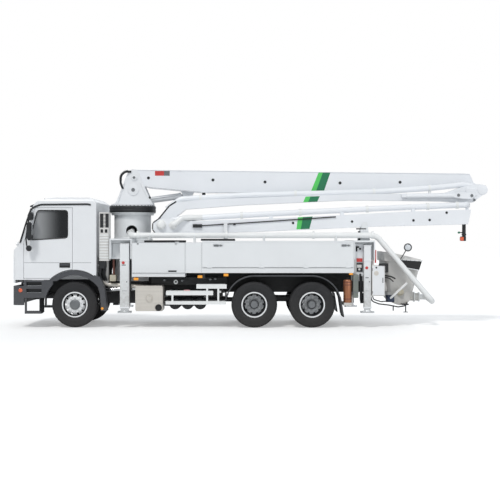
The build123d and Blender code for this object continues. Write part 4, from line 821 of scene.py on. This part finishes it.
# Boom section 2: bands, front edge, fold cylinder with its levers, pipe clamps and the knee's cap
B2 = -445.5
bands(2, B2, ((5440, 3095), (5560, 3099), (5780, 3104)), ((5380, 2961), (5500, 2965), (5720, 2974)))
Piece("boom_2_front_edge", black, 3, "boom_2").edge(((2330, 2962), (2170, 2863), (1850, 2472),
    (1832, 2360), (1897, 2256)), 32, (-450, -140)).done()
p = Piece("fold_cylinder", boom_white, 3, "boom_2")
p.bar((7850, -500, 3105), (9000, -500, 3115), 52, 28)
p.collar(0, 50, 52, 60, (7850, -500, 3105), (1, 0, 0.01), 28)
p.block(7740, 7870, -545, -445, 3070, 3140)
p.done()
Piece("fold_rod", chrome, 0, "boom_2").bar((9000, -500, 3115), (9220, -500, 3120),
    30, 24).done("rod_chrome")
p = Piece("fold_levers", boom_white, 6, "boom_2")
p.plate([(8930, 3170), (9100, 3190), (9460, 3190), (9520, 3120), (9420, 3030), (9200, 3040),
    (8980, 3070)], (-545, -525))
p.plate([(9300, 3300), (9520, 3290), (9560, 3140), (9400, 3060), (9280, 3120)], (-470, -446))
p.done()
p = Piece("fold_lever_pins", dark_steel, 2, "boom_2")
for x, z in ((9100, 3125), (9420, 3115)):
    p.disc(x, z, 36, (-556, -524.5), 22)
p.disc(9500, 3010, 30, (-470, -445.5), 20)
p.done()
p = Piece("boom_2_clamps", pipe_white, 3, "boom_2")
for x, z, slope in ((2900, 3072, 0.06), (5200, 3168, 0.028), (7100, 3215, 0.05), (8450, 3300, 0.09)):
    way = Vector((1, 0, slope)).normalized()
    p.collar(-30, 30, 66.5, 82, (x, -300, z), way, 28)
    p.block(x - 30, x + 30, -335, -265, z - 130, z - 50)
p.done()
Piece("knee_cap", boom_white, 4, "boom_2").lathe(((0, 125), (12, 122), (20, 100), (20, 0)),
    (9700, -445.5, 3258), NEAR, 40).done()

# Boom section 3: bands, pin ends, edge strip, pipe couplings, saddles and the tip fitting
B3 = -755.5
bands(3, B3, ((5239, 2590), (5358, 2597), (5589, 2609)), ((5203, 2292), (5306, 2296), (5510, 2304)))
p = Piece("boom_3_pin_ends", black, 1, "boom_3")
for x, z in ((5123, 2454), (6526, 2488), (7986, 2516), (8371, 2526), (8775, 2700)):
    p.disc(x, z, 30, (B3 - 6, B3), 20)
p.done()
Piece("boom_3_front_edge", black, 3, "boom_3").edge(((1960, 2560), (1800, 2450), (1795, 2300),
    (1880, 2190)), 26, (-760, -470)).done()
Piece("boom_3_lips", boom_white, 2, "boom_3").strip(((1900, 2192), (4300, 2248), (7100, 2372),
    (9270, 2427)), 0, 14, (B3 - 8, B3)).done()
# A black line with dark blocks along the lower edge of the pipe is painted shade under the pipe
p = Piece("boom_3_pipe_shade", black, 0, "boom_3")
p.pipe(((2860, -772, 2385), (4200, -772, 2470), (6140, -772, 2600)), 13, bend=200, sides=10)
p.block(2740, 2960, -800, -756, 2345, 2425)
p.block(3700, 3760, -785, -756, 2405, 2450)
p.done()
Piece("boom_3_pipe_front", pipe_white, 0, "boom_3").pipe(((2270, -756, 2400), (2270, -845, 2400),
    (2500, -800, 2575), (2950, -635, 2588)), 66.5, bend=130, sides=24, steps=8).done()
p = Piece("swivel_cover", pipe_white, 3, "boom_3")
p.lathe(((0, 118), (28, 118), (34, 102), (60, 98), (85, 80), (100, 45), (104, 0)), (1990, -755.5, 2412),
    NEAR, 40)
p.lathe(((0, 98), (20, 98), (24, 85), (24, 0)), (2270, -755.5, 2400), NEAR, 36)
p.done()
p = Piece("boom_3_couplings", pipe_white, 3, "boom_3")
for x, z, slope in ((2620, 2571, 0.054), (3900, 2640, 0.052), (5300, 2710, 0.05), (6900, 2790, 0.05),
    (8350, 2853, 0.042), (9050, 2882, 0.03)):
    way = Vector((1, 0, slope)).normalized()
    p.lathe(((-32, 66.5), (-32, 84), (-4, 84), (-4, 79), (4, 79), (4, 84), (32, 84), (32, 66.5)),
        (x, -615, z), way, 30)
p.done()
p = Piece("boom_3_saddles", boom_white, 3, "boom_3")
for x, z in ((2760, 2578), (4600, 2675), (6300, 2760), (8000, 2838)):
    p.plate([(x - 60, z - 150), (x + 60, z - 150), (x + 35, z - 40), (x - 35, z - 40)], (-660, -570))
p.done()
p = Piece("tip_tube", black, 2, "boom_3")
p.collar(2055, 2425, 0, 44, (9215, -615, 0), UP, 24)
p.collar(2160, 2200, 44, 54, (9215, -615, 0), UP, 24)
p.bar((9100, -615, 2228), (9180, -615, 2228), 12, 12)
p.done()
Piece("tip_valve", valve_green, 3, "boom_3").collar(-30, 30, 0, 26, (9095, -615, 2228), (0, 1, 0),
    20).done()
Piece("tip_box", black, 6, "boom_3").block(9135, 9255, -670, -560, 2026, 2135).done()
# The button shares the indicator lenses' finish and so carries their faint painted glow
Piece("tip_button", orange, 8, "boom_3").block(9115, 9200, -684, -600, 2034, 2120).done()
p = Piece("tip_collar", boom_white, 3, "boom_3")
p.collar(-12, 20, 66.5, 83, (9300, -530, 2890), (0, 1, 0), 28)
p.plate([(9240, 2620), (9350, 2620), (9340, 2830), (9260, 2830)], (-600, -585))
p.done()

# Post on the deck under the third section, and the rest's pads
p = Piece("deck_post", white, 5)
p.block(3475, 3565, -828, -766, 2000, 2440)
p.block(3440, 3600, -828, -764, 2440, 2475)
p.block(3430, 3610, -850, -750, 2000, 2015)
p.done()
p = Piece("rest_pads", black, 4)
p.block(6620, 6860, -800, -776, 2300, 2330)
p.block(6660, 6720, -806, -800, 2040, 2260)
p.done()


# Outriggers: collars, lamps, marks, hoses and feet
def middle(node):
    """The middle of a node's box along and across the truck, in millimetres."""
    low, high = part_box(node)
    return ((low[0] + high[0]) / 2 - FRONT_AXLE) / MM, (low[1] + high[1]) / 2 / MM


# half width, outer face, top, lamp height and height of the mark below it
LEGS = (("front", 107.5, 1227, 1970, 1520, 1455), ("rear", 84, 1216, 1930, 1400, 1160))
for place, half, face, high, lamp_z, mark_z in LEGS:
    for s, hand in SIDES:
        mid = middle(f"outrigger_beam_{place}_{hand}")[0]
        out = s * face
        p = Piece(f"leg_collars_{place}_{hand}", white, 4, f"beam_{place}_{hand}")
        for z0, z1 in ((455, 490), (1555, 1590), (high - 22, high - 2)):
            p.block(mid - half - 7, mid + half + 7, out - s * 50, out + s * 6, z0, z1)
        p.done()
        Piece(f"leg_lamp_{place}_{hand}", red, 2, f"beam_{place}_{hand}").lathe(((0, 0), (0, 36), (8, 34),
            (14, 20), (16, 0)), (mid - half * 0.25, out + s, lamp_z), (0, s, 0), 24).done("lamp")
        p = Piece(f"leg_marks_{place}_{hand}", seam_grey, 1, f"beam_{place}_{hand}")
        p.block(mid - half * 0.6, mid + half * 0.3, out, out + s * 3, mark_z, mark_z + 20)
        p.block(mid - half * 0.5, mid + half * 0.5, out, out + s * 3, 860, 866)
        p.disc(mid + half * 0.5, 1075, 14, (out, out + s * 5), 14)
        p.done()
        p = Piece(f"leg_hose_{place}_{hand}", black, 0, f"beam_{place}_{hand}")
        inner = out - s * 190
        p.pipe(((mid + half + 12, inner, 1620), (mid + half + 16, inner, 1300),
            (mid + half + 16, inner, 950), (mid + half + 8, inner, 620)), 14, bend=100, sides=10)
        p.done()
        fm, fy = middle(f"outrigger_jack_{place}_{hand}")
        Piece(f"foot_{place}_{hand}", white, 4, f"jack_{place}_{hand}").lathe(((372, 50), (372, 88),
            (405, 80), (430, 60), (430, 50)), (fm, fy, 0), UP, 28).done()
        p = Piece(f"foot_bolts_{place}_{hand}", dark_steel, 0, f"jack_{place}_{hand}")
        for bx in (-115, 115):
            for by in (-85, 85):
                p.collar(366, 380, 0, 12, (fm + bx, fy + by, 0), UP, 6)
        p.done()

# Rear frame, driver's side: plates, marks, hoses and the control box
Piece("rear_red_plate", red, 2).block(6600, 6740, -1075, -1060, 1537, 1619).done()
Piece("rear_plates_back", white, 4).block(6575, 6752, -1060, -990, 1200, 1960).done()
p = Piece("rear_black_plate", black, 3)
p.block(6585, 6745, -1078, -1060, 1304, 1514)
p.block(6585, 6620, -1074, -1060, 1780, 1900)
p.block(6585, 6660, -1074, -1060, 1865, 1900)
p.disc(6685, 1845, 24, (-1075, -1060), 18)
p.done()
p = Piece("rear_white_mark", warm_white, 2)
p.block(6610, 6720, -1082, -1078, 1400, 1470)
p.disc(6665, 1360, 26, (-1084, -1078), 20)
p.done()
p = Piece("rear_hoses", black, 0)
for k in range(3):
    x, y = 6675 + 25 * k, -1100 + 30 * k
    p.pipe(((x, y, 1260), (x + 6, y - 30, 950), (x + 4, y - 30, 660), (x + 30, y + 30, 545),
        (x + 60, y + 120, 660), (x + 60, y + 160, 800)), 12, bend=90, sides=9)
p.done()
Piece("rear_red_strip", red, 2).block(7022, 7050, -1190, -1120, 1514, 1817).done("lamp")
Piece("control_box_front", white, 8).block(6958, 7232, -1243, -1234, 762, 1450).done()
p = Piece("control_box_label", stainless, 2)
p.disc(7045, 1275, 55, (-1246.5, -1242.5), 30)
p.disc(7045, 1275, 46, (-1249, -1246), 30)
p.done()
p = Piece("control_box_parts", black, 2)
p.disc(7045, 1405, 20, (-1252, -1242.5), 18)
p.block(7190, 7205, -1250, -1242.5, 1050, 1170)
p.block(6955, 6965, -1244.5, -1240.5, 800, 860)
p.block(6955, 6965, -1244.5, -1240.5, 1330, 1390)
p.done()
p = Piece("hopper_bracket", black, 5)
p.plate([(7100, 1505), (7325, 1505), (7325, 1290), (7252, 1290), (7252, 1450),
    (7100, 1450)], (-1255, -1243.5))
p.block(7250, 7320, -1243.5, -740, 1440, 1500)
p.done()

# Canister and small tank behind the tandem
Piece("canister_skin", copper, 3).lathe(((575, 0), (575, 88), (590, 98), (1100, 98), (1120, 86),
    (1130, 0)), (6385, -1120, 0), UP, 40).done()
p = Piece("canister_bands", brown, 1)
for z in (660, 990, 1055):
    p.collar(z, z + 22, 98.5, 101.5, (6385, -1120, 0), UP, 40)
p.done("tank_grey")
p = Piece("canister_cap", black, 2)
p.lathe(((1130, 0), (1130, 35), (1160, 35), (1165, 20), (1165, 0)), (6385, -1120, 0), UP, 24)
p.lathe(((550, 0), (550, 30), (575, 30)), (6385, -1120, 0), UP, 24)
p.done()
Piece("small_tank_skin", olive, 12).block(6508, 6632, -1217, -1030, 698, 1242).done()
p = Piece("small_tank_straps", dark_steel, 1)
for z in (820, 1100):
    p.block(6504, 6636, -1221, -1030, z, z + 22)
p.done("tank_grey")

# Hopper: side flap, work lamp, motor, strut, hoses, stems, ribs, outlet flange and tail lamps
Piece("hopper_flap", rubber, 3).plate([(7676, 1573), (8188, 1540), (8125, 1338),
    (7676, 1425)], (-752, -731.5)).done()
p = Piece("hopper_flap_edge", white, 2)
p.plate([(7672, 1425), (8128, 1337), (8120, 1320), (7672, 1408)], (-756, -730))
p.plate([(7672, 1588), (8192, 1555), (8192, 1540), (7672, 1573)], (-756, -730))
p.done()
p = Piece("hopper_flap_bolts", dark_steel, 0)
for k in range(5):
    x = 7720 + 100 * k
    p.disc(x, 1581 - 0.0645 * (x - 7672), 8, (-762, -756), 8)
p.done()
p = Piece("work_lamp", black, 3)
p.lathe(((0, 62), (20, 92), (50, 97), (60, 92), (60, 78), (50, 74), (50, 0)), (7840, -800, 1875), NEAR, 36)
p.bar((7655, -762, 1550), (7800, -790, 1800), 11, 12)
p.bar((7800, -790, 1800), (7835, -800, 1860), 18, 12)
p.block(7630, 7685, -775, -730, 1500, 1570)
p.done()
Piece("work_lamp_face", clear_lens, 2).lathe(((50, 73), (62, 50), (66, 0)), (7840, -800, 1875),
    NEAR, 36).done()
p = Piece("agitator_motor", blue_black, 3)
p.lathe(((0, 75), (60, 75), (60, 60), (240, 60), (240, 72), (300, 72), (310, 50), (310, 0)),
    (7430, -500, 645), NEAR, 30)
p.plate([(7360, 560), (7360, 730), (7560, 730), (7560, 560)], (-530, -500))
p.done()
Piece("line_strut", pipe_white, 0).bar((7430, -790, 665), (7815, -885, 1035), 28, 20).done()
p = Piece("hopper_hoses", black, 0)
p.pipe(((6955, -860, 740), (6990, -860, 600), (7160, -840, 535), (7400, -800, 505), (7620, -780, 460),
    (7800, -720, 485), (7860, -600, 560)), 15, bend=100, sides=10)
p.pipe(((7000, -800, 760), (7030, -800, 640), (7220, -780, 585), (7360, -750, 600), (7420, -720, 640)),
    13, bend=80, sides=10)
p.pipe(((7100, -760, 1270), (7260, -780, 1215), (7460, -790, 1180), (7560, -700, 1130)), 18,
    bend=100, sides=10)
p.pipe(((7100, -740, 1210), (7280, -760, 1165), (7420, -760, 1140), (7520, -660, 1060)), 14,
    bend=100, sides=10)
p.done()
p = Piece("hopper_stems", black, 1)
p.bar((7500, -790, 372), (7500, -790, 500), 14, 12)
p.bar((7806, -720, 330), (7806, -720, 500), 14, 12)
p.bar((7750, -720, 335), (7860, -720, 335), 9, 10)
p.block(7720, 7880, -730, -480, 500, 530)
p.done()
p = Piece("trough_ribs", beige, 3)
for s in (-1, 1):
    for k in range(5):
        t = radians(205 + 32 * k)
        p.disc(7705 + 295 * cos(t), 800 + 295 * sin(t), 14, (s * 500, s * 514), 10)
    p.disc(7705, 800, 85, (s * 500, s * 550), 30)
    p.disc(7705, 800, 50, (s * 550, s * 590), 24)
p.done("tank_grey")
p = Piece("outlet_flange", pipe_white, 4)
p.collar(0, 28, 96, 125, (8100, 0, 660), BACK, 36)
p.lathe(((0, 96), (0, 118), (30, 118), (30, 66.5)), (8215, 0, 660), BACK, 36)
p.done()
p = Piece("tail_plates", dark_steel, 3)
for s in (-1, 1):
    p.block(7022, 7046, s * 800, s * 1100, 1085, 1215)
p.done("mirror_black")
for tone, lens, inner, outer in (("red", red_lens, 970, 1090), ("amber", amber, 890, 965),
        ("clear", clear_lens, 810, 885)):
    p = Piece(f"tail_lamps_{tone}", lens, 4)
    for s in (-1, 1):
        p.block(7046, 7070, s * inner, s * outer, 1098, 1202)
    p.done()

# Guard tails behind the front wheels, and what fills the gap behind the cab
for s, hand in SIDES:
    Piece(f"guard_tail_{hand}", anthracite, 8).plate([(470, 1235), (600, 1185), (695, 950), (735, 700),
        (762, 395), (618, 395), (615, 560), (600, 780), (545, 980),
        (440, 1140)], (s * 960, s * 1236)).done("anthracite")
p = Piece("cab_gap_hoses", black, 0)
for x, y, r in ((575, -1060, 40), (655, -1020, 34), (600, -960, 30), (700, -1070, 22)):
    p.pipe(((x, y, 1640), (x + 20, y - 20, 1450), (x - 10, y, 1240), (x + 30, y + 60, 1100)), r,
        bend=120, sides=14)
p.done()
p = Piece("cab_gap_rings", rubber, 0)
for z in (1300, 1340, 1380, 1420, 1500, 1540, 1580, 1620):
    p.lathe(((-8, 40), (-4, 47), (4, 47), (8, 40)), (585, -1068, z), UP, 16)
p.done()
Piece("cab_gap_panel", frame_dark, 6).block(560, 730, -940, -500, 1100, 1660).done("mirror_black")
Piece("exhaust_bend", stainless, 0).pipe(((500, -800, 1200), (600, -915, 1100), (740, -925, 1000),
    (1020, -925, 985), (1400, -925, 955), (1560, -925, 945)), 48, bend=120, sides=22, steps=8).done()

# Floor, world and lamps
floor_mesh = bpy.data.meshes.new("floor")
floor_mesh.from_pydata([(-90, -60, 0), (90, -60, 0), (90, 90, 0), (-90, 90, 0)], [], [(0, 1, 2, 3)])
floor = bpy.data.objects.new("floor", floor_mesh)
bpy.context.scene.collection.objects.link(floor)
floor_paint = bpy.data.materials.new("floor_paint")
t = Tree(floor_paint)
paint = put(t.nodes["Principled BSDF"], Base_Color=(0.80, 0.80, 0.80), Emission_Color=(1, 1, 1),
    Roughness=0.9)
# only the camera sees the floor's own light, so that the paper is white and the truck's shadow stays
eye, lift = t.add("LightPath"), t.maths("MULTIPLY")
lift.inputs[1].default_value = 0.30
t.join(eye, "Is Camera Ray", lift, 0)
t.join(lift, "Value", paint, "Emission Strength")
floor_mesh.materials.append(floor_paint)
floor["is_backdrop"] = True

# The camera sees a white sky; the truck is lit by a dimmer, bluer one
world = bpy.data.worlds.new("world")
bpy.context.scene.world = world
t = Tree(world)
sky = put(t.nodes["Background"], Color=(0.90, 0.95, 1.0), Strength=0.46)
white_sky = t.add("Background", Color=(1, 1, 1), Strength=1.0)
rays, seen, pick = t.add("LightPath"), t.maths("MAXIMUM"), t.add("MixShader")
t.join(rays, "Is Camera Ray", seen, 0)
t.join(rays, "Is Transmission Ray", seen, 1)
t.join(seen, "Value", pick, "Fac")
t.join(sky, "Background", pick, 1)
t.join(white_sky, "Background", pick, 2)
t.join(pick, "Shader", t.nodes["World Output"], "Surface")


def sun(name, strength, angle, azimuth, elevation, colour):
    """A sun lamp that shines from an azimuth (0 is the camera side, 90 the rear) and an elevation."""
    lamp = bpy.data.lights.new(name, "SUN")
    lamp.energy = strength
    lamp.angle = radians(angle)
    lamp.color = colour
    holder = bpy.data.objects.new(name, lamp)
    bpy.context.scene.collection.objects.link(holder)
    a, e = radians(azimuth), radians(elevation)
    towards = Vector((sin(a) * cos(e), -cos(a) * cos(e), sin(e)))
    holder.rotation_euler = towards.to_track_quat("Z", "Y").to_euler()


sun("key", 1.45, 12.0, -24, 52, (1.0, 0.985, 0.96))
sun("fill", 0.45, 40.0, 35, 22, (0.94, 0.97, 1.0))
sun("far_side", 0.7, 40.0, 170, 30, (0.96, 0.98, 1.0))

# Bounds of the finished model, floor left out
low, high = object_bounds()
